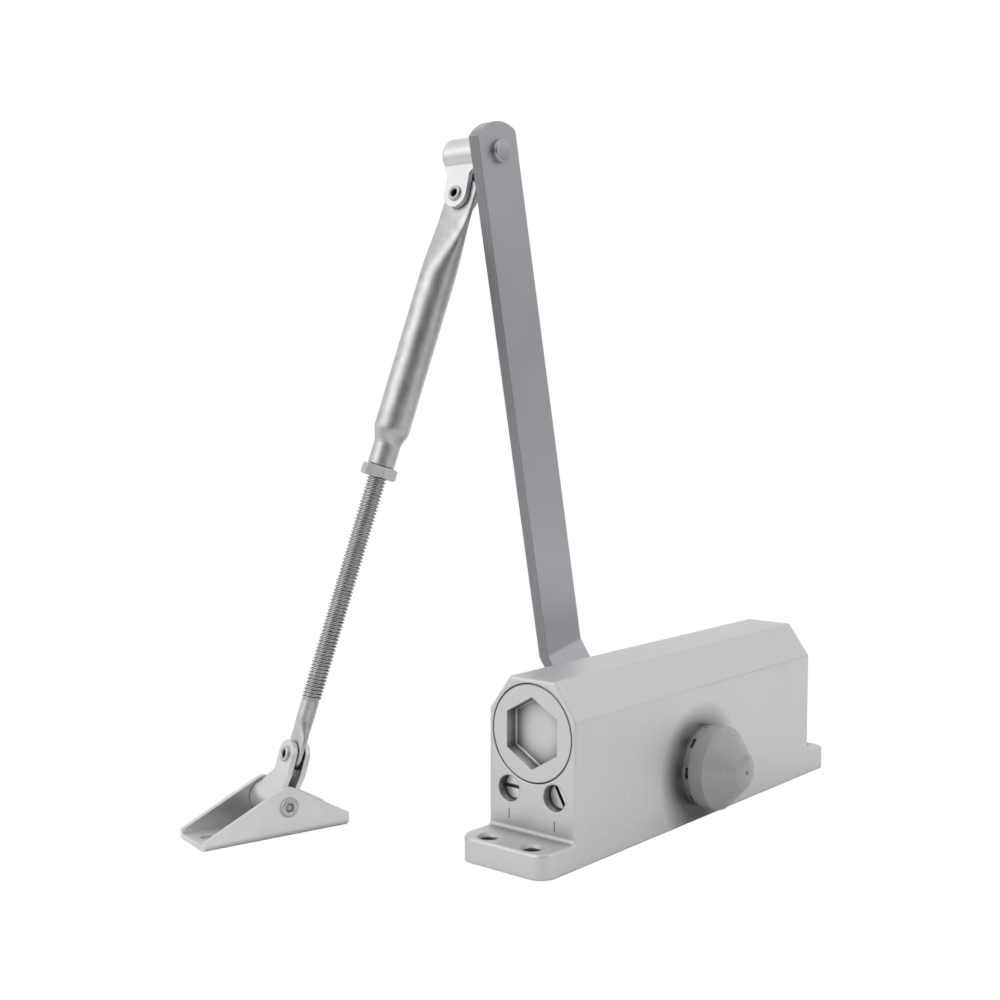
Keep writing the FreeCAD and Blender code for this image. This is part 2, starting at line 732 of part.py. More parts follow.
# Snap cap over the spare square of the spindle
def make_cap():
    spigot = "(nut_recess_radius - fit_gap)"
    rim_top = f"({nut_face} + cap_rim)"
    nose = f"({rim_top} + cap_cone)"
    turned("spindle_cap", [
        ("0", f"{nose} - cap_wall - cap_dimple"),
        ("cap_nose_radius - cap_wall", f"{nose} - cap_wall - cap_dimple"),
        (f"{spigot} - cap_wall", f"{rim_top} - cap_wall"),
        (f"{spigot} - cap_wall", f"{nut_face} - nut_recess_depth + fit_gap"),
        (spigot, f"{nut_face} - nut_recess_depth + fit_gap"),
        (spigot, nut_face),
        ("cap_radius", nut_face),
        ("cap_radius", rim_top),
        ("cap_nose_radius", nose, "cap_nose_radius * 0.6", f"{nose} + cap_crown * 0.7", "cap_nose_bend"),
        ("cap_dimple", f"{nose} + cap_crown"),
        ("0", f"{nose} + cap_crown - cap_dimple"),
    ], along(spindle_axis, y_way * -1))


# Slotted regulating valves at the plug end, with a ring seal each
def make_valve(label, seal_label, sign, slot_turn):
    place = Vector(-val(half_length), sign * val("valve_spread / 2"), val("valve_height"))
    head = "(valve_recess + valve_head)"
    seal_middle = f"({head} + valve_stem_length / 2)"
    groove = "(valve_stem - 2 * valve_seal_wire)"
    low = f"({seal_middle} - valve_seal_wire - fit_gap)"
    high = f"({seal_middle} + valve_seal_wire + fit_gap)"
    tip = f"({head} + valve_stem_length + valve_needle_length)"
    body = turned(label, [
        ("0", "valve_recess"),
        ("valve_mouth - run_gap - small_chamfer", "valve_recess"),
        ("valve_mouth - run_gap", "valve_recess + small_chamfer"),
        ("valve_mouth - run_gap", f"{head} - run_gap"),
        ("valve_stem", f"{head} - run_gap"),
        ("valve_stem", low),
        (groove, low),
        (groove, high),
        ("valve_stem", high),
        ("valve_stem", f"{head} + valve_stem_length"),
        ("valve_needle", f"{head} + valve_stem_length"),
        ("duct_radius / 3", tip),
        ("0", tip),
    ], FreeCAD.Placement(place, FreeCAD.Rotation(x_way, slot_turn) * FreeCAD.Rotation(y_way, x_way)))
    slot = draw(new_sketch(body, label + "_slot_outline", "YZ_Plane"), [
        ("valve_recess", "0 - valve_slot / 2"),
        ("valve_recess + valve_slot", "0 - valve_slot / 2"),
        ("valve_recess + valve_slot", "valve_slot / 2"),
        ("valve_recess", "valve_slot / 2"),
    ])
    add_feature(body, "Pocket", label + "_slot", slot, "4 * valve_mouth", both=True)
    ring_place = along(place + x_way * val(seal_middle), x_way)
    ring_middle = "valve_stem - valve_seal_wire + fit_gap / 2"
    turned_ring(seal_label, ring_middle, "valve_seal_wire - fit_gap", ring_place)
    return body


# Cranked flat bar from the spindle to the elbow
def make_main_arm(placement):
    body = new_body("main_arm", placement)
    shift = "(arm_thick * tan(atan(arm_crank / arm_crank_run) / 2))"
    high = "(arm_crank_start + arm_crank_run)"
    end = "(arm_length + arm_width / 2)"
    side = draw(new_sketch(body, "arm_side", "YZ_Plane"), [
        ("arm_seat", "0 - arm_width / 2"),
        ("arm_seat + arm_thick", "0 - arm_width / 2"),
        ("arm_seat + arm_thick", f"arm_crank_start - {shift}"),
        (arm_back, f"{high} - {shift}"),
        (arm_back, end),
        (arm_front, end),
        (arm_front, high),
        ("arm_seat", "arm_crank_start"),
    ])
    add_feature(body, "Pad", "arm_bar", side, "arm_width", both=True)
    low_bend, high_bend = val("arm_crank_start"), val(high)
    round_edges(body, "arm_bends", "arm_bend", lambda mid, box: (
        box.XLength > 1 and min(abs(mid.z - low_bend), abs(mid.z - high_bend)) < val("arm_thick")))
    ends = (("top", "arm_length", 1, "arm_crown"), ("foot", "0", -1, "(arm_width / 2)"))
    for name, middle, sign, crown in ends:
        rim = f"({middle} + {sign} * arm_width / 2)"
        shoulder = f"({rim} - {sign} * {crown})"
        past = f"({rim} + {sign} * 1)"
        sweep = f"(((arm_width / 2) ^ 2 + {crown} ^ 2) / (2 * {crown}))"
        waste = draw(new_sketch(body, name + "_waste", "XZ_Plane"), [
            ("arm_width / 2", shoulder, "0", rim, sweep),
            ("0 - arm_width / 2", shoulder),
            ("0 - arm_width / 2 - 1", shoulder),
            ("0 - arm_width / 2 - 1", past),
            ("arm_width / 2 + 1", past),
            ("arm_width / 2 + 1", shoulder),
        ])
        add_feature(body, "Pocket", name + "_round", waste, f"4 * {arm_back}", both=True)
    half = "(square_flats / 2 + fit_gap)"
    square = draw(new_sketch(body, "spindle_square", "XZ_Plane"), [
        (f"0 - {half}", f"0 - {half}"),
        (half, f"0 - {half}"),
        (half, half),
        (f"0 - {half}", half),
    ])
    add_feature(body, "Pocket", "spindle_hole", square, f"4 * {arm_back}", both=True)
    eye = draw_circle(new_sketch(body, "elbow_eye", "XZ_Plane"), "0", "arm_length", "stud_neck + fit_gap")
    add_feature(body, "Pocket", "elbow_hole", eye, f"4 * {arm_back}", both=True)


def make_arm_hardware(elbow):
    washer_top = "(arm_seat + arm_thick + arm_washer_thick)"
    shank_end = "(arm_seat + arm_thick - 2 * side_play - arm_screw_length + fit_gap)"
    lean = along(spindle_axis, y_way)
    turned("arm_washer", [
        ("arm_screw_shank + fit_gap", "arm_seat + arm_thick"),
        ("arm_washer_radius", "arm_seat + arm_thick"),
        ("arm_washer_radius", washer_top),
        ("arm_screw_shank + fit_gap", washer_top),
    ], lean)
    crown = f"({washer_top} + arm_screw_head_height)"
    screw = turned("arm_screw", [
        ("0", shank_end),
        ("arm_screw_shank", shank_end),
        ("arm_screw_shank", washer_top),
        ("arm_screw_head", washer_top),
        ("arm_screw_head", f"{crown} - arm_screw_head_height / 3"),
        ("arm_screw_head - arm_screw_head_height / 3", crown),
        ("0", crown),
    ], lean)
    key = "(arm_screw_shank / 3)"
    for name, wide, tall in (("cross_slot", "arm_screw_head", key),
                             ("upright_slot", key, "arm_screw_head")):
        bar = draw(new_sketch(screw, name + "_outline", "XZ_Plane", ("0", "0", f"0 - {crown}")), [
            (f"0 - {wide} / 2", f"0 - {tall} / 2"),
            (f"{wide} / 2", f"0 - {tall} / 2"),
            (f"{wide} / 2", f"{tall} / 2"),
            (f"0 - {wide} / 2", f"{tall} / 2"),
        ])
        add_feature(screw, "Pocket", name, bar, "arm_screw_head_height / 2", back=True)
    tail = f"({knuckle_start} + upper_barrel + side_play)"
    at_elbow = along(Vector(elbow.x, 0, elbow.z), y_way)
    turned("elbow_stud", [
        ("0", f"{arm_front} - stud_head_height"),
        ("stud_head - small_chamfer", f"{arm_front} - stud_head_height"),
        ("stud_head", f"{arm_front} - stud_head_height + small_chamfer"),
        ("stud_head", arm_front),
        ("stud_neck", arm_front),
        ("stud_neck", arm_back),
        ("stud_radius", arm_back),
        ("stud_radius", tail),
        ("stud_tail", tail),
        ("stud_tail", f"{tail} + stud_tail_height / 2"),
        ("stud_radius", f"{tail} + stud_tail_height"),
        ("0", f"{tail} + stud_tail_height"),
    ], at_elbow)
    turned("elbow_washer", [
        ("stud_radius + fit_gap", arm_back),
        ("elbow_washer_radius", arm_back),
        ("elbow_washer_radius", f"{arm_back} + elbow_washer_thick"),
        ("stud_radius + fit_gap", f"{arm_back} + elbow_washer_thick"),
    ], at_elbow)


# Strap bent round a pin, its two ears reaching down to a rivet across them
def make_knuckle(label, pin, barrel, ear, reach, shoulder, taper, placement, offset="0", bend=None):
    body = new_body(label, placement)
    hole = f"({pin} + run_gap)"
    outer = f"({hole} + strap_thick)"
    inner_foot = f"(0 - sqrt({hole} ^ 2 - {ear_gap} ^ 2))"
    outer_foot = f"(0 - sqrt({outer} ^ 2 - {ear_outside} ^ 2))"
    end = f"(0 - {reach} - {ear} / 2)"

    # A strap with an offset is cranked between its loop and its ears.
    def crank(place):
        return [(f"{place} - {offset}", f"0 - {bend}")] if bend else []

    loop = draw(new_sketch(body, label + "_loop", "XZ_Plane"), [
        (f"{ear_gap} - {offset}", end),
        *crank(ear_gap),
        (ear_gap, inner_foot, "0", hole, hole),
        (f"0 - {ear_gap}", inner_foot),
        *crank(f"0 - {ear_gap}"),
        (f"0 - {ear_gap} - {offset}", end),
        (f"0 - {ear_outside} - {offset}", end),
        *crank(f"0 - {ear_outside}"),
        (f"0 - {ear_outside}", outer_foot, "0", outer, outer),
        (ear_outside, outer_foot),
        *crank(ear_outside),
        (f"{ear_outside} - {offset}", end),
    ])
    add_feature(body, "Pad", label + "_strap", loop, barrel, both=True)
    slant = f"({ear} / 2 * sqrt(2) / 2)"
    for name, sign in (("near", "0 -"), ("far", "0 +")):
        waste = draw(new_sketch(body, f"{label}_{name}_waste", "YZ_Plane"), [
            ("0", end, f"{sign} {slant}", f"0 - {reach} - {slant}", f"{ear} / 2"),
            (f"{sign} {ear} / 2", f"0 - {reach}"),
            (f"{sign} {ear} / 2", f"0 - {taper}"),
            (f"{sign} {barrel} / 2", f"0 - {shoulder}"),
            (f"{sign} ({barrel} / 2 + 1)", f"0 - {shoulder}"),
            (f"{sign} ({barrel} / 2 + 1)", f"{end} - 1"),
            ("0", f"{end} - 1"),
        ])
        add_feature(body, "Pocket", f"{label}_{name}_side", waste, f"4 * {ear_outside}", both=True)
    eye = new_sketch(body, label + "_eye", "YZ_Plane")
    draw_circle(eye, "0", f"0 - {reach}", "rivet_radius + fit_gap")
    add_feature(body, "Pocket", label + "_eyes", eye, f"4 * {ear_outside}", both=True)


# Rivet with a dimpled head at both ends, thicker in the middle where it has a waist
def make_rivet(label, place, axis, head, height, shank, half_grip, waist=None, half_waist=None):
    middle = [(shank, f"0 - {half_waist}"), (waist, f"0 - {half_waist}"),
              (waist, half_waist), (shank, half_waist)] if waist else []
    turned(label, [
        ("0", f"0 - {half_grip} - {height} / 3"),
        ("rivet_dimple", f"0 - {half_grip} - {height}"),
        (f"{head} - {height} / 2", f"0 - {half_grip} - {height}"),
        (head, f"0 - {half_grip} - {height} / 2"),
        (head, f"0 - {half_grip}"),
        (shank, f"0 - {half_grip}"),
        *middle,
        (shank, half_grip),
        (head, half_grip),
        (head, f"{half_grip} + {height} / 2"),
        (f"{head} - {height} / 2", f"{half_grip} + {height}"),
        ("rivet_dimple", f"{half_grip} + {height}"),
        ("0", f"{half_grip} + {height} / 3"),
    ], along(place, axis))


def slot_section(sketch, width, thick):
    # Flat with rounded edges, as a pressed tube has: width along Y, thickness along X.
    run = f"({width} / 2 - {thick} / 2)"
    return draw(sketch, [
        (f"{thick} / 2", f"0 - {run}"),
        (f"{thick} / 2", run, "0", f"{width} / 2", f"{thick} / 2"),
        (f"0 - {thick} / 2", run),
        (f"0 - {thick} / 2", f"0 - {run}", "0", f"0 - {width} / 2", f"{thick} / 2"),
    ])


def round_section(sketch, radius):
    slant = f"({radius} * sqrt(2) / 2)"
    return draw(sketch, [
        (slant, f"0 - {slant}", radius, "0", radius),
        (slant, slant, "0", radius, radius),
        (f"0 - {slant}", slant, f"0 - {radius}", "0", radius),
        (f"0 - {slant}", f"0 - {slant}", "0", f"0 - {radius}", radius),
    ])


def pressed_end(body, label, width, flat_to, round_to, radius, over, sign):
    # Pressed flat at a rivet hole, blending into the round bar.
    flat_end = f"{sign} {flat_to}"
    flat = new_sketch(body, label + "_flat", "XY_Plane", ("0", "0", flat_end))
    slot_section(flat, width, "flat_thick")
    add_feature(body, "Pad", label + "_eye_flat", flat, f"{flat_to} + {over}", back=(sign == "0 +"))
    start = new_sketch(body, label + "_from", "XY_Plane", ("0", "0", flat_end))
    slot_section(start, width, "flat_thick")
    stop = new_sketch(body, label + "_to", "XY_Plane", ("0", "0", f"{sign} {round_to}"))
    round_section(stop, radius)
    doc.recompute()
    blend = body.newObject("PartDesign::AdditiveLoft", label + "_blend")
    blend.Profile = start
    blend.Sections = [stop]
    blend.Ruled = False
    body.Tip = blend
    doc.recompute()
    far = f"(0 - ({sign} ({over})))"
    spot = f"({width} / 2 - {over})"
    waste_low = f"({sign} {spot})"
    past = f"(0 - ({sign} ({over} + 1)))"
    waste = draw(new_sketch(body, label + "_waste", "YZ_Plane"), [
        (f"{width} / 2", waste_low, "0", far, f"{width} / 2"),
        (f"0 - {width} / 2", waste_low),
        (f"0 - {width} / 2 - 1", waste_low),
        (f"0 - {width} / 2 - 1", past),
        (f"{width} / 2 + 1", past),
        (f"{width} / 2 + 1", waste_low),
    ])
    add_feature(body, "Pocket", label + "_eye_round", waste, f"4 * {radius}", both=True)
    eye = draw_circle(new_sketch(body, label + "_hole", "YZ_Plane"), "0", "0", "rivet_radius + run_gap")
    add_feature(body, "Pocket", label + "_eye_hole", eye, f"4 * {radius}", both=True)


# Forearm tube: pressed flat at the knuckle, swaged to a threaded neck below
def make_tube(placement):
    body = new_body("forearm_tube", placement)
    pressed_end(body, "tube", "tube_flat_width", "tube_flat_low", "tube_round", "tube_radius",
                "tube_flat_top", "0 -")
    inside = "(tube_radius - tube_wall)"
    swage_low = "(tube_length - neck_length)"
    swage_top = f"({swage_low} - swage_length)"
    wall = draw(new_sketch(body, "tube_half", "XZ_Plane"), [
        ("0", "0 - tube_round"),
        ("tube_radius", "0 - tube_round"),
        ("tube_radius", f"0 - {swage_top}"),
        ("neck_radius", f"0 - {swage_low}"),
        ("neck_radius", "0 - tube_length"),
        ("0", "0 - tube_length"),
    ])
    turn(body, "Revolution", "tube_barrel", wall, "V_Axis")
    hollow = draw(new_sketch(body, "tube_hollow_half", "XZ_Plane"), [
        ("0", "0 - tube_round"),
        (inside, "0 - tube_round"),
        (inside, f"0 - {swage_top}"),
        (thread_room, f"0 - {swage_low}"),
        (thread_room, "0 - tube_length"),
        ("0", "0 - tube_length"),
    ])
    turn(body, "Groove", "tube_hollow", hollow, "V_Axis")


def make_rod(placement, rod_shown):
    body = new_body("threaded_rod", placement)
    pressed_end(body, "rod", "eye_width", "eye_flat", "eye_round", "shank_radius", "eye_width / 2", "0 +")
    bar = draw(new_sketch(body, "rod_half", "XZ_Plane"), [
        ("0", "eye_round"),
        ("shank_radius", "eye_round"),
        ("shank_radius", "shank_length"),
        ("rod_radius", "shank_length + rod_radius - shank_radius"),
        ("rod_radius", f"{rod_shown} + rod_inside - rod_chamfer"),
        ("rod_radius - rod_chamfer", f"{rod_shown} + rod_inside"),
        ("0", f"{rod_shown} + rod_inside"),
    ])
    turn(body, "Revolution", "rod_bar", bar, "V_Axis")


def make_jam_nut(placement):
    body = new_body("jam_nut", placement)
    reach = "(jam_flats / sqrt(3))"
    top = "(0 - tube_length - side_play)"
    hexagon = draw(new_sketch(body, "jam_outline", "XY_Plane", ("0", "0", top)), [
        (f"{reach} * {math.cos(math.pi * i / 3):.9f}", f"{reach} * {math.sin(math.pi * i / 3):.9f}")
        for i in range(6)
    ])
    add_feature(body, "Pad", "jam_block", hexagon, "jam_thick", back=True)
    hole = draw_circle(new_sketch(body, "jam_hole", "XY_Plane"), "0", "0", thread_room)
    add_feature(body, "Pocket", "jam_bore", hole, "4 * tube_length", both=True)
    bevel = f"({reach} - jam_flats / 2)"
    for name, face, sign in (("upper", top, "-"), ("lower", f"({top} - jam_thick)", "+")):
        waste = draw(new_sketch(body, name + "_corner_half", "XZ_Plane"), [
            ("jam_flats / 2 * 0.97", face),
            (f"{reach} + 1", face),
            (f"{reach} + 1", f"{face} {sign} ({bevel} + 1) * 0.55"),
        ])
        turn(body, "Groove", name + "_corners", waste, "V_Axis")


# Pressed channel that carries the forearm on the door frame
def make_shoe(placement):
    body = new_body("shoe_bracket", placement)
    base = draw(new_sketch(body, "shoe_base", "XY_Plane"), [
        ("0 - shoe_left", "0 - shoe_width / 2"),
        ("shoe_right", "0 - shoe_width / 2"),
        ("shoe_right", "shoe_width / 2"),
        ("0 - shoe_left", "shoe_width / 2"),
    ])
    add_feature(body, "Pad", "shoe_floor", base, "shoe_sheet")
    rise = "((shoe_peak - shoe_left_rise) / shoe_left)"
    fall = "((shoe_peak - shoe_right_rise) / shoe_right)"
    for name, place in (("near", "shoe_width / 2"), ("far", "shoe_sheet - shoe_width / 2")):
        cheek = draw(new_sketch(body, name + "_cheek", "XZ_Plane", ("0", "0", f"0 + {place}")), [
            ("0 - shoe_left", "0"),
            ("shoe_right", "0"),
            ("shoe_right", "shoe_right_rise"),
            ("shoe_peak_round / 2", f"shoe_peak - {fall} * shoe_peak_round / 2",
             "0", "shoe_peak - shoe_peak_round * 0.14", "shoe_peak_round"),
            ("0 - shoe_peak_round / 2", f"shoe_peak - {rise} * shoe_peak_round / 2"),
            ("0 - shoe_left", "shoe_left_rise"),
        ])
        add_feature(body, "Pad", name + "_side", cheek, "shoe_sheet", back=True)
    half = val("shoe_width / 2")
    round_edges(body, "shoe_folds", "shoe_bend", lambda mid, box: (
        box.XLength > half and abs(mid.z) < 0.01 and abs(abs(mid.y) - half) < 0.01))
    for name, place in (("left", "0 - shoe_hole_left"), ("right", "shoe_hole_right")):
        hole = draw_circle(new_sketch(body, name + "_screw_spot", "XY_Plane"), place, "0", "shoe_hole")
        add_feature(body, "Pocket", name + "_screw_hole", hole, "4 * shoe_sheet", both=True)
    eye = draw_circle(new_sketch(body, "shoe_eye", "XZ_Plane"), "0", "shoe_pin_height", "shoe_pin + fit_gap")
    add_feature(body, "Pocket", "shoe_eyes", eye, "2 * shoe_width", both=True)


# Rest pose: arm at its closed stop, shoe flat on the mounting plane, rod as long as that asks
def forearm_axes():
    lean = math.radians(val("forearm_lean_angle"))
    tilt = math.radians(val("forearm_tilt_angle"))
    shoe_turn = math.radians(val("shoe_turn_angle"))
    hang = Vector(-math.sin(lean), 0, -math.cos(lean))
    run = hang * math.cos(tilt) + y_way * math.sin(tilt)
    pin_axis = Vector(math.sin(shoe_turn), math.cos(shoe_turn), 0)
    rise = run * -1 + pin_axis * run.dot(pin_axis)
    rise.normalize()
    return hang, run, pin_axis, rise


def make_forearm(elbow):
    hang, run, pin_axis, rise = forearm_axes()
    across = y_way.cross(hang * -1)
    elbow_height = "(spindle_height + arm_length * cos(arm_lean_angle * 1deg))"
    rod_across = pin_axis.cross(rise)
    knuckles = (f"(upper_rivet_drop * {-hang.z:.9f} + lower_rivet_rise * {rise.z:.9f}"
                f" + lower_offset * {rod_across.z:.9f})")
    rod_shown = f"(({elbow_height} - {knuckles} - shoe_pin_height) / {-run.z:.9f} - tube_length)"
    upper = elbow + hang * val("upper_rivet_drop")
    lower = upper + run * val(f"tube_length + {rod_shown}")
    shoe = lower - rise * val("lower_rivet_rise") - rod_across * val("lower_offset")
    shoulder = "(stud_radius + run_gap + strap_thick + small_chamfer)"
    make_knuckle("upper_knuckle", "stud_radius", "upper_barrel", "upper_ear", "upper_rivet_drop", shoulder,
                 f"({shoulder} + (upper_barrel - upper_ear) / 2)", frame(elbow, across, y_way, hang * -1))
    rivet = ("rivet_head", "rivet_head_height", "rivet_radius", ear_outside)
    make_rivet("upper_rivet", upper, across, *rivet)
    tube_frame = frame(upper, across, (run * -1).cross(across), run * -1)
    make_tube(tube_frame)
    make_jam_nut(tube_frame)
    make_rod(frame(lower, rod_across, (run * -1).cross(rod_across), run * -1), rod_shown)
    make_knuckle("lower_knuckle", "shoe_pin_waist", lower_barrel, "lower_ear", "lower_rivet_rise",
                 "lower_shoulder", "lower_bend", frame(shoe, rod_across * -1, pin_axis, rise * -1),
                 "lower_offset", "lower_bend")
    make_rivet("lower_rivet", lower, rod_across, *rivet)
    pin = ("shoe_pin_head", "shoe_pin_head_height", "shoe_pin", "(shoe_width / 2)", "shoe_pin_waist",
           "(shoe_width / 2 - shoe_sheet - fit_gap)")
    make_rivet("shoe_pin", shoe, pin_axis, *pin)
    shoe_along = pin_axis.cross(z_way)
    foot = Vector(shoe.x, shoe.y, shoe.z - val("shoe_pin_height"))
    make_shoe(frame(foot, shoe_along, pin_axis, z_way))
    pose = {"elbow": elbow, "upper": upper, "lower": lower, "shoe": shoe, "run": run,
            "across": across, "rod_across": rod_across, "pin_axis": pin_axis}
    for name, vector in pose.items():
        print(name, [round(part, 6) for part in vector])


make_housing()
make_end_plug("valve_end_plug", "valve_plug_seal", -1)
make_end_plug("spring_end_plug", "spring_plug_seal", 1)
make_piston()
make_check_valve()
make_spring()
make_spindle()
make_bearing_set("front", -1)
make_bearing_set("rear", 1)
make_cap()
make_valve("sweep_valve", "sweep_valve_seal", 1, 0)
make_valve("latch_valve", "latch_valve_seal", -1, val("latch_valve_turn"))
arm_frame = FreeCAD.Placement(spindle_axis, FreeCAD.Rotation(y_way, -val("arm_lean_angle")))
make_main_arm(arm_frame)
elbow_point = arm_frame.multVec(Vector(0, val(knuckle_middle), val("arm_length")))
make_arm_hardware(elbow_point)
make_forearm(elbow_point)

doc.recompute()
faults = [item.Label for item in doc.Objects if {"Invalid", "Error"} & set(item.State)]
faults += [item.Label for item in pieces if item.Shape.isNull() or not item.Shape.isValid()]
faults += [item.Label for item in pieces if len(item.Shape.Solids) != 1]
if faults:
    raise RuntimeError("not sound: " + ", ".join(faults))

os.makedirs("parts", exist_ok=True)
for item in pieces:
    item.Shape.exportStep(f"parts/{item.Label}.step")
print(len(pieces), "pieces written")
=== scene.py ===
import bpy
import bmesh
import json
import math
from mathutils import Matrix, Vector


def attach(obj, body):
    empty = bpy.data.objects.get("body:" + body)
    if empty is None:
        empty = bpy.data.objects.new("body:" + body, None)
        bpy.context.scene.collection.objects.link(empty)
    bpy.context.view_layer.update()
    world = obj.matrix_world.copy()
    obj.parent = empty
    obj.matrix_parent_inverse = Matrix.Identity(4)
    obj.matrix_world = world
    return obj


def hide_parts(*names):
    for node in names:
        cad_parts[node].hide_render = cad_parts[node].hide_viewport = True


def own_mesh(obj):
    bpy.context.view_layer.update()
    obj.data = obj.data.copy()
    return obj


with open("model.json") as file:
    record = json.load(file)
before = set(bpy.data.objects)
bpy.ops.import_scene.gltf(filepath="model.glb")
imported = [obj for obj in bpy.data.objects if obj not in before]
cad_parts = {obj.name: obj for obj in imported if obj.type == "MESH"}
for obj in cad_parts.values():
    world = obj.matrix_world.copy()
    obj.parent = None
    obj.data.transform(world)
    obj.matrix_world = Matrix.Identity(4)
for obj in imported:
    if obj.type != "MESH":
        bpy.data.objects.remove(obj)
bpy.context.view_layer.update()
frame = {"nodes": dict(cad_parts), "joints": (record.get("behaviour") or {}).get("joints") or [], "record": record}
nodes = frame["nodes"]
joints = {joint["name"]: joint for joint in frame["joints"]}
print("frame loaded:", len(nodes), "nodes")


# Shader groups, shared by several finishes
def newGroup(name, inputs, outputs):
    group = bpy.data.node_groups.new(name, "ShaderNodeTree")
    for label, default in inputs:
        socket = group.interface.new_socket(label, in_out="INPUT", socket_type="NodeSocketFloat")
        socket.default_value = default
    for label in outputs:
        group.interface.new_socket(label, in_out="OUTPUT", socket_type="NodeSocketFloat")
    return group, group.nodes.new("NodeGroupInput"), group.nodes.new("NodeGroupOutput")


def makeSpeckleGroup():
    group, source, result = newGroup(
        "lacquerSpeckle", [("Grain", 1400.0), ("Cloud", 35.0)], ["Fleck", "Drift", "Height"])
    coords = group.nodes.new("ShaderNodeTexCoord")
    fleck = group.nodes.new("ShaderNodeTexNoise")
    fleck.inputs["Detail"].default_value = 3.0
    fleck.inputs["Roughness"].default_value = 0.65
    cloud = group.nodes.new("ShaderNodeTexNoise")
    cloud.inputs["Detail"].default_value = 4.0
    link = group.links.new
    link(coords.outputs["Object"], fleck.inputs["Vector"])
    link(coords.outputs["Object"], cloud.inputs["Vector"])
    link(source.outputs["Grain"], fleck.inputs["Scale"])
    link(source.outputs["Cloud"], cloud.inputs["Scale"])
    link(fleck.outputs["Fac"], result.inputs["Fleck"])
    link(cloud.outputs["Fac"], result.inputs["Drift"])
    link(fleck.outputs["Fac"], result.inputs["Height"])
    return group


def makeStreakGroup():
    group, source, result = newGroup(
        "platingStreaks", [("Fine", 900.0), ("Stretch", 0.06), ("Stain", 60.0)],
        ["Streak", "Stain", "Height"])
    coords = group.nodes.new("ShaderNodeTexCoord")
    stretch = group.nodes.new("ShaderNodeCombineXYZ")
    stretch.inputs["X"].default_value = 1.0
    stretch.inputs["Y"].default_value = 1.0
    scaled = group.nodes.new("ShaderNodeVectorMath")
    scaled.operation = "MULTIPLY"
    streak = group.nodes.new("ShaderNodeTexNoise")
    streak.inputs["Detail"].default_value = 2.0
    stain = group.nodes.new("ShaderNodeTexNoise")
    stain.inputs["Detail"].default_value = 5.0
    link = group.links.new
    link(source.outputs["Stretch"], stretch.inputs["Z"])
    link(coords.outputs["Object"], scaled.inputs[0])
    link(stretch.outputs["Vector"], scaled.inputs[1])
    link(scaled.outputs["Vector"], streak.inputs["Vector"])
    link(source.outputs["Fine"], streak.inputs["Scale"])
    link(coords.outputs["Object"], stain.inputs["Vector"])
    link(source.outputs["Stain"], stain.inputs["Scale"])
    link(streak.outputs["Fac"], result.inputs["Streak"])
    link(stain.outputs["Fac"], result.inputs["Stain"])
    link(streak.outputs["Fac"], result.inputs["Height"])
    return group


speckleGroup = makeSpeckleGroup()
streakGroup = makeStreakGroup()

shading = {
    "ior": 1.5, "hollowSamples": 8, "edgeSamples": 4,
    "sideSpan": (0.55, 0.90),   # how far a face turns to the side before it counts as a narrow side with painted shade
}


def newMaterial(name, finish):
    material = bpy.data.materials.new(name)
    material.use_nodes = True
    tree = material.node_tree
    shader = tree.nodes["Principled BSDF"]
    shader.inputs["Metallic"].default_value = finish["metallic"]
    shader.inputs["IOR"].default_value = shading["ior"]
    return material, tree, shader


def mixColours(tree, factor, dark, light):
    mix = tree.nodes.new("ShaderNodeMix")
    mix.data_type = "RGBA"
    mix.inputs["A"].default_value = (*dark, 1)
    mix.inputs["B"].default_value = (*light, 1)
    tree.links.new(factor, mix.inputs["Factor"])
    return mix.outputs["Result"]


def mapValue(tree, value, low, high, start=0.3, end=0.7):
    ramp = tree.nodes.new("ShaderNodeMapRange")
    ramp.inputs["From Min"].default_value = start
    ramp.inputs["From Max"].default_value = end
    ramp.inputs["To Min"].default_value = low
    ramp.inputs["To Max"].default_value = high
    tree.links.new(value, ramp.inputs["Value"])
    return ramp.outputs["Result"]


def darken(tree, colour, keep):
    mix = tree.nodes.new("ShaderNodeMix")
    mix.data_type = "RGBA"
    mix.blend_type = "MULTIPLY"
    mix.inputs["Factor"].default_value = 1.0
    tree.links.new(colour, mix.inputs["A"])
    tree.links.new(keep, mix.inputs["B"])
    return mix.outputs["Result"]


def shadeHollows(tree, colour, finish):
    # painted shade: darker in the piece's own corners and recesses, from an occlusion test within the piece
    reach, darkest, deep, shallow = finish["hollow"]
    hollow = tree.nodes.new("ShaderNodeAmbientOcclusion")
    hollow.only_local = True
    hollow.samples = shading["hollowSamples"]
    hollow.inputs["Distance"].default_value = reach
    return darken(tree, colour, mapValue(tree, hollow.outputs["AO"], darkest, 1.0, deep, shallow))


def shadeSides(tree, colour, keep):
    # painted shade: the bar's narrow sides are darker than its faces, as in the photograph
    coords = tree.nodes.new("ShaderNodeTexCoord")
    parts = tree.nodes.new("ShaderNodeSeparateXYZ")
    size = tree.nodes.new("ShaderNodeMath")
    size.operation = "ABSOLUTE"
    tree.links.new(coords.outputs["Normal"], parts.inputs["Vector"])
    tree.links.new(parts.outputs["X"], size.inputs[0])
    return darken(tree, colour, mapValue(tree, size.outputs["Value"], 1.0, keep, *shading["sideSpan"]))


def shadeRing(tree, colour, ring):
    # painted shadow round the spindle cap on the casting, and painted shade in the joint round a plug
    coords = tree.nodes.new("ShaderNodeTexCoord")
    plane = tree.nodes.new("ShaderNodeVectorMath")
    plane.operation = "MULTIPLY"
    plane.inputs[1].default_value = ring["plane"]
    near = tree.nodes.new("ShaderNodeVectorMath")
    near.operation = "DISTANCE"
    near.inputs[1].default_value = ring["centre"]
    tree.links.new(coords.outputs["Object"], plane.inputs[0])
    tree.links.new(plane.outputs["Vector"], near.inputs[0])
    keep = mapValue(tree, near.outputs["Value"], ring["keep"], 1.0, *ring["radii"])
    return darken(tree, colour, keep)


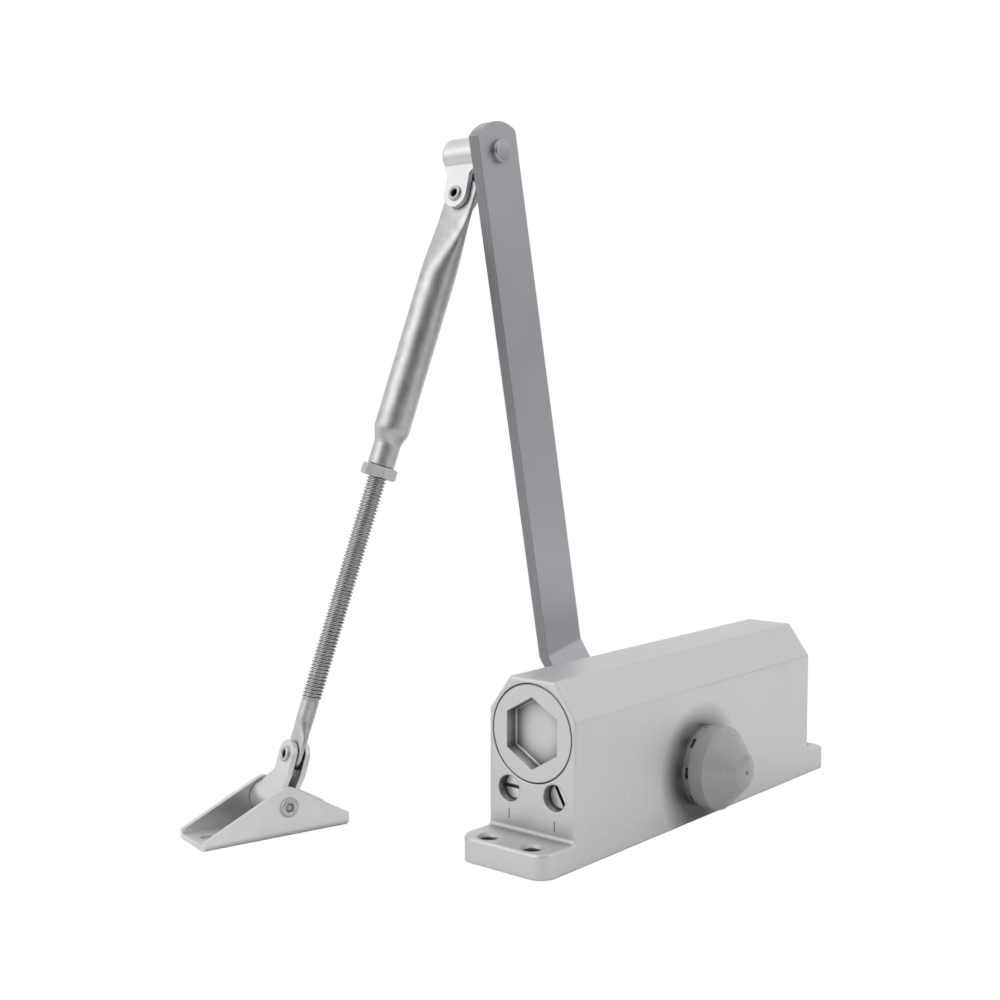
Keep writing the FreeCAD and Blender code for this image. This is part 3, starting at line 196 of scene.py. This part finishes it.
def addBump(tree, shader, height, finish):
    # soft edges under the surface grain
    edge = tree.nodes.new("ShaderNodeBevel")
    edge.samples = shading["edgeSamples"]
    edge.inputs["Radius"].default_value = finish["edge"]
    bump = tree.nodes.new("ShaderNodeBump")
    bump.inputs["Strength"].default_value = finish["bump"]
    bump.inputs["Distance"].default_value = finish["depth"]
    tree.links.new(height, bump.inputs["Height"])
    tree.links.new(edge.outputs["Normal"], bump.inputs["Normal"])
    tree.links.new(bump.outputs["Normal"], shader.inputs["Normal"])


def lacquer(name, finish):
    # metal flake lacquer: fine flecks of tone, and a slow drift of roughness
    material, tree, shader = newMaterial(name, finish)
    speckle = tree.nodes.new("ShaderNodeGroup")
    speckle.node_tree = speckleGroup
    speckle.inputs["Grain"].default_value = finish["grain"]
    speckle.inputs["Cloud"].default_value = finish["cloud"]
    tone = mapValue(tree, speckle.outputs["Fleck"], 0.0, 1.0)
    colour = shadeHollows(tree, mixColours(tree, tone, finish["dark"], finish["light"]), finish)
    if "sides" in finish:
        colour = shadeSides(tree, colour, finish["sides"])
    if "ring" in finish:
        colour = shadeRing(tree, colour, finish["ring"])
    tree.links.new(colour, shader.inputs["Base Color"])
    roughness = mapValue(tree, speckle.outputs["Drift"], *finish["roughness"])
    tree.links.new(roughness, shader.inputs["Roughness"])
    addBump(tree, shader, speckle.outputs["Height"], finish)
    return material


def plating(name, finish):
    # bare or plated metal: drawn streaks and faint stains
    material, tree, shader = newMaterial(name, finish)
    streaks = tree.nodes.new("ShaderNodeGroup")
    streaks.node_tree = streakGroup
    streaks.inputs["Fine"].default_value = finish["fine"]
    streaks.inputs["Stretch"].default_value = finish["stretch"]
    streaks.inputs["Stain"].default_value = finish["stain"]
    tone = mapValue(tree, streaks.outputs["Stain"], 0.0, 1.0)
    colour = shadeHollows(tree, mixColours(tree, tone, finish["dark"], finish["light"]), finish)
    tree.links.new(colour, shader.inputs["Base Color"])
    roughness = mapValue(tree, streaks.outputs["Streak"], *finish["roughness"])
    tree.links.new(roughness, shader.inputs["Roughness"])
    addBump(tree, shader, streaks.outputs["Height"], finish)
    return material


# hollow: painted shade in the piece's hollows, as reach in metres, the share of tone kept, and the openness where
# the shade is full and gone
# grain, cloud, fine and stain are noise scales
# depth is the grain's height and edge the radius of a softened edge, in metres
finishes = {
    "castingLacquer": (lacquer, {
        "metallic": 0.85, "dark": (0.60, 0.605, 0.615), "light": (0.66, 0.665, 0.675),
        "roughness": (0.38, 0.46), "grain": 1600.0, "cloud": 30.0,
        "bump": 0.06, "depth": 0.0002, "hollow": (0.010, 0.30, 0.30, 0.90), "edge": 0.0010,
        # painted shadow round the spindle cap
        "ring": {
            "plane": (1, 1, 1), "centre": (-0.003, -0.019, 0.018),
            "keep": 0.25, "radii": (0.0160, 0.0270),
        },
    }),
    "plugLacquer": (lacquer, {
        "metallic": 0.85, "dark": (0.60, 0.605, 0.61), "light": (0.65, 0.655, 0.66),
        "roughness": (0.36, 0.44), "grain": 1800.0, "cloud": 60.0,
        "bump": 0.04, "depth": 0.0002, "hollow": (0.008, 0.20, 0.35, 0.90), "edge": 0.0003,
        # painted shade in the joint round the plug
        "ring": {
            "plane": (0, 1, 1), "centre": (0.0, 0.0, 0.044),
            "keep": 0.10, "radii": (0.0172, 0.0167),
        },
    }),
    "armLacquer": (lacquer, {
        "metallic": 0.80, "dark": (0.45, 0.455, 0.48), "light": (0.49, 0.495, 0.52),
        "roughness": (0.36, 0.44), "grain": 1800.0, "cloud": 25.0,
        "bump": 0.03, "depth": 0.0002, "hollow": (0.004, 0.40, 0.30, 0.90), "edge": 0.0004,
        # sides: share of tone kept as painted shade on the arm's narrow sides
        "sides": 0.62,
    }),
    "capPlastic": (lacquer, {
        "metallic": 0.0, "dark": (0.345, 0.345, 0.355), "light": (0.38, 0.38, 0.39),
        "roughness": (0.24, 0.32), "grain": 2200.0, "cloud": 80.0,
        "bump": 0.03, "depth": 0.0002, "hollow": (0.003, 0.30, 0.30, 0.90), "edge": 0.0004,
    }),
    "markGrey": (lacquer, {
        "metallic": 0.0, "dark": (0.13, 0.13, 0.135), "light": (0.18, 0.18, 0.185),
        "roughness": (0.50, 0.60), "grain": 2200.0, "cloud": 80.0,
        "bump": 0.05, "depth": 0.0001, "hollow": (0.001, 0.60, 0.30, 0.90), "edge": 0.0001,
    }),
    "brightZinc": (plating, {
        "metallic": 1.0, "dark": (0.48, 0.485, 0.495), "light": (0.60, 0.605, 0.615),
        "roughness": (0.36, 0.44), "fine": 420.0, "stretch": 0.30, "stain": 260.0,
        "bump": 0.03, "depth": 0.0002, "hollow": (0.003, 0.15, 0.35, 0.95), "edge": 0.0004,
    }),
    "satinZinc": (plating, {
        "metallic": 1.0, "dark": (0.69, 0.695, 0.70), "light": (0.75, 0.755, 0.76),
        "roughness": (0.34, 0.42), "fine": 420.0, "stretch": 0.30, "stain": 60.0,
        "bump": 0.03, "depth": 0.0002, "hollow": (0.009, 0.15, 0.18, 0.62), "edge": 0.0004,
    }),
    "studSteel": (plating, {
        "metallic": 1.0, "dark": (0.42, 0.425, 0.44), "light": (0.47, 0.475, 0.49),
        "roughness": (0.30, 0.38), "fine": 900.0, "stretch": 1.0, "stain": 160.0,
        "bump": 0.02, "depth": 0.0001, "hollow": (0.002, 0.30, 0.35, 0.95), "edge": 0.0002,
    }),
    "turnedSteel": (plating, {
        "metallic": 1.0, "dark": (0.72, 0.72, 0.73), "light": (0.78, 0.78, 0.79),
        "roughness": (0.34, 0.42), "fine": 1500.0, "stretch": 1.0, "stain": 120.0,
        "bump": 0.01, "depth": 0.0001, "hollow": (0.002, 0.10, 0.35, 0.95), "edge": 0.0002,
    }),
    "groundSteel": (plating, {
        "metallic": 1.0, "dark": (0.50, 0.50, 0.51), "light": (0.60, 0.60, 0.61),
        "roughness": (0.24, 0.34), "fine": 900.0, "stretch": 0.5, "stain": 90.0,
        "bump": 0.03, "depth": 0.0001, "hollow": (0.003, 0.35, 0.30, 0.90), "edge": 0.0002,
    }),
    "springWire": (plating, {
        "metallic": 1.0, "dark": (0.13, 0.13, 0.14), "light": (0.20, 0.20, 0.21),
        "roughness": (0.36, 0.48), "fine": 900.0, "stretch": 1.0, "stain": 80.0,
        "bump": 0.05, "depth": 0.0001, "hollow": (0.003, 0.40, 0.30, 0.90), "edge": 0.0002,
    }),
    "machinedIron": (plating, {
        "metallic": 0.9, "dark": (0.26, 0.26, 0.265), "light": (0.36, 0.36, 0.365),
        "roughness": (0.34, 0.48), "fine": 1200.0, "stretch": 1.0, "stain": 70.0,
        "bump": 0.05, "depth": 0.0001, "hollow": (0.003, 0.40, 0.30, 0.90), "edge": 0.0002,
    }),
    "bronzeBush": (plating, {
        "metallic": 1.0, "dark": (0.46, 0.31, 0.15), "light": (0.60, 0.43, 0.22),
        "roughness": (0.36, 0.50), "fine": 1500.0, "stretch": 1.0, "stain": 150.0,
        "bump": 0.05, "depth": 0.0001, "hollow": (0.003, 0.40, 0.30, 0.90), "edge": 0.0002,
    }),
    "sealRubber": (lacquer, {
        "metallic": 0.0, "dark": (0.015, 0.015, 0.016), "light": (0.03, 0.03, 0.032),
        "roughness": (0.55, 0.70), "grain": 1500.0, "cloud": 90.0,
        "bump": 0.10, "depth": 0.0001, "hollow": (0.002, 0.60, 0.30, 0.90), "edge": 0.0002,
    }),
}
materials = {name: make(name, values) for name, (make, values) in finishes.items()}
print("finishes made:", len(materials))

slotFinish = {
    "housing": "castingLacquer", "plug": "plugLacquer", "seal": "sealRubber", "piston": "machinedIron",
    "hard_steel": "groundSteel", "spring": "springWire", "bearing": "bronzeBush", "nut": "turnedSteel",
    "cap": "capPlastic", "valve": "turnedSteel", "arm": "armLacquer", "zinc": "brightZinc",
}
ownFinish = {
    "elbow_washer": "springWire",   # painted shade: the washer takes the dark spring-wire finish so it reads as the shadowed gap at the elbow
    "shoe_bracket": "satinZinc", "upper_knuckle": "satinZinc", "lower_knuckle": "satinZinc",
}
for part in frame["record"]["subparts"]:
    piece = nodes[part["node"]]
    finish = materials[ownFinish.get(part["node"], slotFinish[part["material_slot"]])]
    if piece.material_slots:
        for slot in piece.material_slots:
            slot.material = finish
    else:
        piece.data.materials.append(finish)
print("nodes dressed")


# New pieces
meshing = {
    "weld": 1e-7, "sharpAngle": 38.0, "roundSteps": 40,
    "lipStep": 20, "rimStep": 15,   # degrees between points on a rivet's lip and on the stud's rim
}


def finishPiece(bm, name, body, finish, place):
    bmesh.ops.transform(bm, matrix=place, verts=bm.verts)
    bmesh.ops.remove_doubles(bm, verts=bm.verts, dist=meshing["weld"])
    bmesh.ops.recalc_face_normals(bm, faces=bm.faces)
    for face in bm.faces:
        face.smooth = True
    mesh = bpy.data.meshes.new(name)
    bm.to_mesh(mesh)
    bm.free()
    mesh.set_sharp_from_angle(angle=math.radians(meshing["sharpAngle"]))
    piece = bpy.data.objects.new(name, mesh)
    bpy.context.scene.collection.objects.link(piece)
    mesh.materials.append(materials[finish])
    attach(piece, body)
    return piece


def hingeFrame(hinge):
    # z up the forearm, x along the rivet of that hinge
    across = Vector(joints[hinge]["axis"]).normalized()
    up = Vector(joints["length_adjust"]["axis"]).normalized()
    turn = Matrix((across, up.cross(across), up)).transposed()
    return Matrix.Translation(joints[hinge]["pos_m"]) @ turn.to_4x4()


def drawRings(stations, segments=64):
    # one ring carried along z; each station is height, half thickness, half width, power
    # power 2 is round, a higher power squares the section softly
    bm = bmesh.new()
    ring = bmesh.ops.create_circle(bm, cap_ends=False, segments=segments, radius=1.0)["verts"]
    edges = bm.edges[:]
    rings = [ring]
    for station in stations[1:]:
        grown = bmesh.ops.extrude_edge_only(bm, edges=edges)["geom"]
        edges = [part for part in grown if isinstance(part, bmesh.types.BMEdge)]
        rings.append([part for part in grown if isinstance(part, bmesh.types.BMVert)])
    for ring, (height, thick, width, power) in zip(rings, stations):
        for vert in ring:
            vert.co = [math.copysign(abs(part) ** (2 / power), part) for part in vert.co]
        bmesh.ops.scale(bm, vec=(thick, width, 1), verts=ring)
        bmesh.ops.translate(bm, vec=(0, 0, height), verts=ring)
    bmesh.ops.holes_fill(bm, edges=[edge for edge in bm.edges if edge.is_boundary], sides=segments)
    return bm


def soften(share):
    # slow at both ends
    return share * share * (3 - 2 * share)


def pressed(shape, start, end):
    # stations from the round bar to the flat
    rows = []
    for step in range(shape["pressSteps"] + 1):
        share = step / shape["pressSteps"]
        soft = soften(share)
        thick = shape["radius"] + (shape["flatThick"] / 2 - shape["radius"]) * soft
        width = shape["radius"] + (shape["flatWidth"] / 2 - shape["radius"]) * soft
        rows.append((start + (end - start) * share, thick, width, 2 + (shape["power"] - 2) * soft))
    return rows


def drillEye(piece, place, radius, length):
    # rivet hole through the flat
    bm = bmesh.new()
    bmesh.ops.create_cone(bm, cap_ends=True, segments=meshing["roundSteps"], radius1=radius, radius2=radius,
                          depth=length)
    bmesh.ops.transform(bm, matrix=place @ Matrix.Rotation(math.pi / 2, 4, "Y"), verts=bm.verts)
    drill = bpy.data.objects.new("drill", bpy.data.meshes.new("drill"))
    bm.to_mesh(drill.data)
    bm.free()
    bpy.context.scene.collection.objects.link(drill)
    cut = piece.modifiers.new("eye", "BOOLEAN")
    cut.operation = "DIFFERENCE"
    cut.solver = "EXACT"
    cut.object = drill
    drilled = bpy.data.meshes.new_from_object(piece.evaluated_get(bpy.context.evaluated_depsgraph_get()))
    piece.modifiers.clear()
    piece.data = drilled
    bpy.data.objects.remove(drill)


forearmTube = {
    "radius": 0.00665, "neck": 0.0050, "bore": 0.00375, "length": 0.1048, "boreEnd": -0.0295,
    "swageLow": -0.0968, "swageTop": -0.0900,
    "flatThick": 0.0028, "flatWidth": 0.0146, "power": 3.4,
    "roundEnd": -0.0340, "flatStart": -0.0050, "pressSteps": 24,
    "lip": 0.0003, "swageSteps": 8, "eye": 0.00225, "eyeDepth": 0.02,
    "barrel": (-0.075, -0.060, -0.045, -0.038),   # heights of the plain round rows
    # height above the rivet and share of the flat's width
    "tip": ((0.0, 1.0), (0.0036, 1.0), (0.0050, 0.95), (0.0060, 0.83), (0.0065, 0.66), (0.0066, 0.55)),
}


def makeForearmTube():
    # drawn tube: swaged to a neck below, pressed flat round the rivet above
    tube = forearmTube
    foot, lip = -tube["length"], tube["lip"]
    rows = [(height, radius, radius, 2) for height, radius in (
        (tube["boreEnd"], tube["bore"]), (foot + lip, tube["bore"]), (foot, tube["bore"] + lip),
        (foot, tube["neck"] - lip), (foot + lip, tube["neck"]))]
    for step in range(tube["swageSteps"] + 1):
        share = step / tube["swageSteps"]
        radius = tube["neck"] + (tube["radius"] - tube["neck"]) * soften(share)
        rows.append((tube["swageLow"] + (tube["swageTop"] - tube["swageLow"]) * share, radius, radius, 2))
    rows += [(height, tube["radius"], tube["radius"], 2) for height in tube["barrel"]]
    rows += pressed(tube, tube["roundEnd"], tube["flatStart"])
    half, flat = tube["flatThick"] / 2, tube["flatWidth"] / 2
    for height, share in tube["tip"]:
        rows.append((height, half, flat * share, tube["power"]))
    place = hingeFrame("forearm_tilt")
    piece = finishPiece(drawRings(rows), "forearm_tube_drawn", "forearm_tube", "brightZinc", place)
    drillEye(piece, place, tube["eye"], tube["eyeDepth"])
    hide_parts("forearm_tube")


forearmRod = {
    "radius": 0.00325, "core": 0.0029, "shankEnd": 0.0212, "top": 0.1400, "tip": 0.0008,
    "flatThick": 0.0028, "flatWidth": 0.0106, "power": 3.0,
    "flatEnd": 0.0056, "roundStart": 0.0140, "pressSteps": 12, "eye": 0.00225, "eyeDepth": 0.02,
    "shoulder": 0.0003, "segments": 48,
    "eyeTurns": (10, 25, 42, 60, 76, 90),   # degrees round the end of the eye
}
rodThread = {
    "start": 0.0216, "length": 0.1170, "pitch": 0.00132, "root": 0.0028, "crest": 0.00362,
    "rootShare": 0.40, "crestShare": 0.13,   # half widths as shares of the pitch
    "stepsPerTurn": 24,
}


def makeForearmRod():
    # rod with a pressed eye below, a plain shank and a thread rolled on the core
    rod = forearmRod
    half, flat = rod["flatThick"] / 2, rod["flatWidth"] / 2
    rows = [(-flat * math.cos(math.radians(turn)), half, flat * math.sin(math.radians(turn)), rod["power"])
            for turn in rod["eyeTurns"]]
    rows += pressed(rod, rod["roundStart"], rod["flatEnd"])[::-1]
    rows += [(height, radius, radius, 2) for height, radius in (
        (rod["shankEnd"], rod["radius"]), (rod["shankEnd"] + rod["shoulder"], rod["core"]),
        (rod["top"] - rod["tip"], rod["core"]), (rod["top"], rod["core"] - rod["tip"]))]
    place = hingeFrame("shoe_tilt")
    bm = drawRings(rows, rod["segments"])
    piece = finishPiece(bm, "threaded_rod_drawn", "threaded_rod", "brightZinc", place)
    drillEye(piece, place, rod["eye"], rod["eyeDepth"])
    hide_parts("threaded_rod")


def makeRodThread():
    # rolled thread on the forearm rod: a trapezoid wound up the core
    pitch, root, crest = rodThread["pitch"], rodThread["root"], rodThread["crest"]
    turns = int(rodThread["length"] / pitch)
    bm = bmesh.new()
    section = [bm.verts.new((radius, 0, share * pitch)) for radius, share in (
        (root, -rodThread["rootShare"]), (crest, -rodThread["crestShare"]),
        (crest, rodThread["crestShare"]), (root, rodThread["rootShare"]))]
    loop = [bm.edges.new((section[i], section[(i + 1) % 4])) for i in range(4)]
    bmesh.ops.spin(bm, geom=section + loop, cent=(0, 0, 0), axis=(0, 0, 1), angle=2 * math.pi * turns,
                   steps=turns * rodThread["stepsPerTurn"], dvec=(0, 0, pitch / rodThread["stepsPerTurn"]),
                   use_merge=False)
    bmesh.ops.holes_fill(bm, edges=[edge for edge in bm.edges if edge.is_boundary], sides=4)
    place = hingeFrame("shoe_tilt") @ Matrix.Translation((0, 0, rodThread["start"]))
    finishPiece(bm, "rod_thread", "threaded_rod", "brightZinc", place)


def spinPiece(outline, name, body, finish, hinge, node):
    # outline of radius and height, turned about the hinge's axis
    bm = bmesh.new()
    points = [bm.verts.new((radius, 0, height)) for radius, height in outline]
    lines = [bm.edges.new(pair) for pair in zip(points, points[1:])]
    bmesh.ops.spin(bm, geom=points + lines, cent=(0, 0, 0), axis=(0, 0, 1), angle=2 * math.pi,
                   steps=meshing["roundSteps"], use_merge=True)
    axis = Vector(joints[hinge]["axis"])
    place = Matrix.Translation(joints[hinge]["pos_m"]) @ axis.to_track_quat("Z", "X").to_matrix().to_4x4()
    piece = finishPiece(bm, name, body, finish, place)
    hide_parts(node)


rivets = {
    "upper_rivet": {"hinge": "forearm_tilt", "body": "upper_knuckle", "grip": 0.0037, "shank": 0.0022,
                    "head": 0.0030, "bore": 0.0013, "height": 0.0011, "deep": 0.0022},
    "lower_rivet": {"hinge": "shoe_tilt", "body": "lower_knuckle", "grip": 0.0037, "shank": 0.0022,
                    "head": 0.0030, "bore": 0.0013, "height": 0.0011, "deep": 0.0022},
    "shoe_pin": {"hinge": "shoe_swing", "body": "shoe", "grip": 0.0110, "shank": 0.0030,
                 "head": 0.0037, "bore": 0.0012, "height": 0.0012, "deep": -0.0002,
                 "waist": 0.0043, "waistHalf": 0.00895},
}
elbowStud = {
    "head": 0.0044, "round": 0.0009, "headHeight": 0.0023, "neck": 0.0034, "armThick": 0.0045,
    "radius": 0.0043, "tail": 0.0056, "tailHeight": 0.0018,
}


def makeRivet(node, rivet):
    # both lips are rolled over, round a blind hole in a rivet and a flat middle in the shoe pin
    middle, half = (rivet["head"] + rivet["bore"]) / 2, (rivet["head"] - rivet["bore"]) / 2
    lip = [(middle + half * math.cos(math.radians(turn)),
            rivet["grip"] + rivet["height"] * math.sin(math.radians(turn)))
           for turn in range(180, -1, -meshing["lipStep"])]
    side = [(0, rivet["grip"] - rivet["deep"]), (rivet["bore"], rivet["grip"] - rivet["deep"]), *lip,
            (rivet["shank"], rivet["grip"])]
    if "waist" in rivet:
        side += [(rivet["shank"], rivet["waistHalf"]), (rivet["waist"], rivet["waistHalf"])]
    outline = side + [(radius, -height) for radius, height in side[::-1]]
    spinPiece(outline, node + "_rolled", rivet["body"], "brightZinc", rivet["hinge"], node)


def makeElbowStud():
    # turned stud with a rounded head in front of the arm and a riveted tail behind the knuckle
    stud = elbowStud
    span = [corner[1] - joints["elbow_fold"]["pos_m"][1] for corner in nodes["elbow_stud"].bound_box]
    front, tail = min(span), max(span) - stud["tailHeight"]
    arm = front + stud["headHeight"]
    rim = [(stud["head"] - stud["round"] * (1 - math.sin(math.radians(turn))),
            front + stud["round"] * (1 - math.cos(math.radians(turn))))
           for turn in range(0, 91, meshing["rimStep"])]
    outline = [(0, front), *rim, (stud["head"], arm), (stud["neck"], arm),
               (stud["neck"], arm + stud["armThick"]), (stud["radius"], arm + stud["armThick"]),
               (stud["radius"], tail), (stud["tail"], tail), (stud["tail"], tail + stud["tailHeight"] / 2),
               (stud["radius"], max(span)), (0, max(span))]
    spinPiece(outline, "elbow_stud_turned", "spindle", "studSteel", "elbow_fold", "elbow_stud")


def makeSqueezedSpring():
    # a copy of the closing spring, set on the housing in place of the node
    solid = nodes["closing_spring"]
    piece = bpy.data.objects.new("closing_spring_squeezed", solid.data.copy())
    bpy.context.scene.collection.objects.link(piece)
    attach(piece, "housing")
    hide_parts("closing_spring")
    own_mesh(piece)


valveMarks = {
    "face": -0.0810, "proud": 0.00012, "width": 0.00034, "bevel": 0.00006,
    "spots": ((0.0100, 0.0124, 0.0160), (-0.0100, 0.0114, 0.0152)),   # across, foot, top
}


def makeValveMarks():
    # short index line under each regulating valve
    for count, (across, foot, top) in enumerate(valveMarks["spots"], 1):
        bm = bmesh.new()
        bmesh.ops.create_cube(bm, size=1.0)
        bmesh.ops.scale(bm, vec=(2 * valveMarks["proud"], valveMarks["width"], top - foot), verts=bm.verts)
        bmesh.ops.bevel(bm, geom=bm.edges[:], offset=valveMarks["bevel"], segments=2, profile=0.5,
                        affect="EDGES", material=-1)
        place = Matrix.Translation((valveMarks["face"], across, (foot + top) / 2))
        finishPiece(bm, f"valve_mark_{count}", "housing", "markGrey", place)


makeForearmTube()
makeForearmRod()
makeRodThread()
print("forearm drawn")
for node, rivet in rivets.items():
    makeRivet(node, rivet)
makeElbowStud()
makeSqueezedSpring()
makeValveMarks()
print("rivets, stud, spring and marks set")


# Stage: pale floor, soft studio light, camera at the photograph's angle
floorTone = {
    "half": 0.75, "drop": -0.0003, "roughness": 0.9,
    "steep": 0.80, "grazing": 0.95,   # tone seen straight down and along it, as the part mirrors it
    "lift": 0.15,                     # light of its own when seen along it
    "slant": (0.45, 0.90),            # from steep to grazing
}


def makeFloor():
    bm = bmesh.new()
    bmesh.ops.create_grid(bm, x_segments=1, y_segments=1, size=floorTone["half"])
    bmesh.ops.translate(bm, verts=bm.verts, vec=(0, 0, floorTone["drop"]))
    mesh = bpy.data.meshes.new("floor")
    bm.to_mesh(mesh)
    bm.free()
    floor = bpy.data.objects.new("floor", mesh)
    bpy.context.scene.collection.objects.link(floor)
    material = bpy.data.materials.new("paleFloor")
    material.use_nodes = True
    tree = material.node_tree
    shader = tree.nodes["Principled BSDF"]
    slant = tree.nodes.new("ShaderNodeLayerWeight")
    facing, span = slant.outputs["Facing"], floorTone["slant"]
    tone = mapValue(tree, facing, floorTone["steep"], floorTone["grazing"], *span)
    lift = mapValue(tree, facing, 0.0, floorTone["lift"], *span)
    tree.links.new(tone, shader.inputs["Base Color"])
    shader.inputs["Emission Color"].default_value = (1, 1, 1, 1)
    tree.links.new(lift, shader.inputs["Emission Strength"])
    shader.inputs["Roughness"].default_value = floorTone["roughness"]
    mesh.materials.append(material)
    # the camera sees the white backdrop instead, so an arm that swings below the floor still shows
    floor.visible_camera = False


def addSoftbox(name, place, target, size, power):
    data = bpy.data.lights.new(name, "AREA")
    data.shape = "RECTANGLE"
    data.size, data.size_y = size
    data.energy = power
    box = bpy.data.objects.new(name, data)
    bpy.context.scene.collection.objects.link(box)
    box.location = place
    box.rotation_euler = (Vector(target) - Vector(place)).to_track_quat("-Z", "Y").to_euler()


studio = {
    "room": 0.88,          # brightness of the walls that the plated steel mirrors
    "lowRoom": 0.25,       # share of that left low down on the camera's side
    "darkSide": 0.12,      # brightness of the dark patch of wall, on the camera's side
    "darkWay": (-0.56, -0.83, 0.0),
    "darkSpan": (0.60, 0.92),    # from the walls into the dark patch
    "lowSpan": (0.02, 0.22),     # heights between the low and the full brightness
    "sideSpan": (-0.35, 0.05),   # from the far side to the camera's side
    "sun": ((-0.80, 0.16, 0.58), 0.5),
    "sunAngle": 50.0,
    "leftBox": ((-1.50, 1.00, 0.55), (-0.06, 0.04, 0.12), (1.3, 1.2), 2.4),
    "rightBox": ((0.45, -1.75, 0.60), (0.0, 0.0, 0.06), (1.1, 1.1), 3.0),
}


def makeStudio():
    # white to the camera, and a grey room with one dark side for the steel to mirror
    world = bpy.data.worlds.new("studio")
    bpy.context.scene.world = world
    world.use_nodes = True
    tree = world.node_tree
    coords = tree.nodes.new("ShaderNodeTexCoord")
    facing = tree.nodes.new("ShaderNodeVectorMath")
    facing.operation = "DOT_PRODUCT"
    facing.inputs[1].default_value = studio["darkWay"]
    parts = tree.nodes.new("ShaderNodeSeparateXYZ")
    tree.links.new(coords.outputs["Generated"], facing.inputs[0])
    tree.links.new(coords.outputs["Generated"], parts.inputs["Vector"])
    walls = mapValue(tree, facing.outputs["Value"], studio["room"], studio["darkSide"], *studio["darkSpan"])
    low = mapValue(tree, parts.outputs["Z"], studio["lowRoom"], 1.0, *studio["lowSpan"])
    behind = mapValue(tree, facing.outputs["Value"], 1.0, 0.0, *studio["sideSpan"])
    kept = tree.nodes.new("ShaderNodeMath")
    kept.operation = "MAXIMUM"
    tree.links.new(low, kept.inputs[0])
    tree.links.new(behind, kept.inputs[1])
    lit = tree.nodes.new("ShaderNodeMath")
    lit.operation = "MULTIPLY"
    tree.links.new(walls, lit.inputs[0])
    tree.links.new(kept.outputs["Value"], lit.inputs[1])
    path = tree.nodes.new("ShaderNodeLightPath")
    seen = tree.nodes.new("ShaderNodeMath")
    seen.operation = "MAXIMUM"
    tree.links.new(lit.outputs["Value"], seen.inputs[0])
    tree.links.new(path.outputs["Is Camera Ray"], seen.inputs[1])
    tree.links.new(seen.outputs["Value"], tree.nodes["Background"].inputs["Strength"])
    tree.nodes["Background"].inputs["Color"].default_value = (1, 1, 1, 1)
    way, strength = studio["sun"]
    sun = bpy.data.lights.new("sun", "SUN")
    sun.energy = strength
    sun.angle = math.radians(studio["sunAngle"])
    lamp = bpy.data.objects.new("sun", sun)
    bpy.context.scene.collection.objects.link(lamp)
    lamp.rotation_euler = Vector(way).to_track_quat("Z", "Y").to_euler()
    for name in ("leftBox", "rightBox"):
        addSoftbox(name, *studio[name])
    bpy.context.scene.view_settings.view_transform = "Standard"


photoView = {
    "place": (-0.463072, -0.308023, 0.162665),
    "azimuth": -49.86,
    "elevation": 4.447,
    "lens": 52.22, "sensor": 36.0, "near": 0.01,
}


def makeCamera():
    data = bpy.data.cameras.new("photoCamera")
    data.sensor_width = photoView["sensor"]
    data.sensor_fit = "HORIZONTAL"
    data.lens = photoView["lens"]
    data.clip_start = photoView["near"]
    camera = bpy.data.objects.new("photoCamera", data)
    bpy.context.scene.collection.objects.link(camera)
    azimuth = math.radians(photoView["azimuth"])
    elevation = math.radians(photoView["elevation"])
    forward = Vector((-math.sin(azimuth) * math.cos(elevation), math.cos(azimuth) * math.cos(elevation),
                      -math.sin(elevation)))
    camera.location = photoView["place"]
    camera.rotation_euler = forward.to_track_quat("-Z", "Y").to_euler()
    bpy.context.scene.camera = camera


makeFloor()
makeStudio()
makeCamera()
print("studio set")
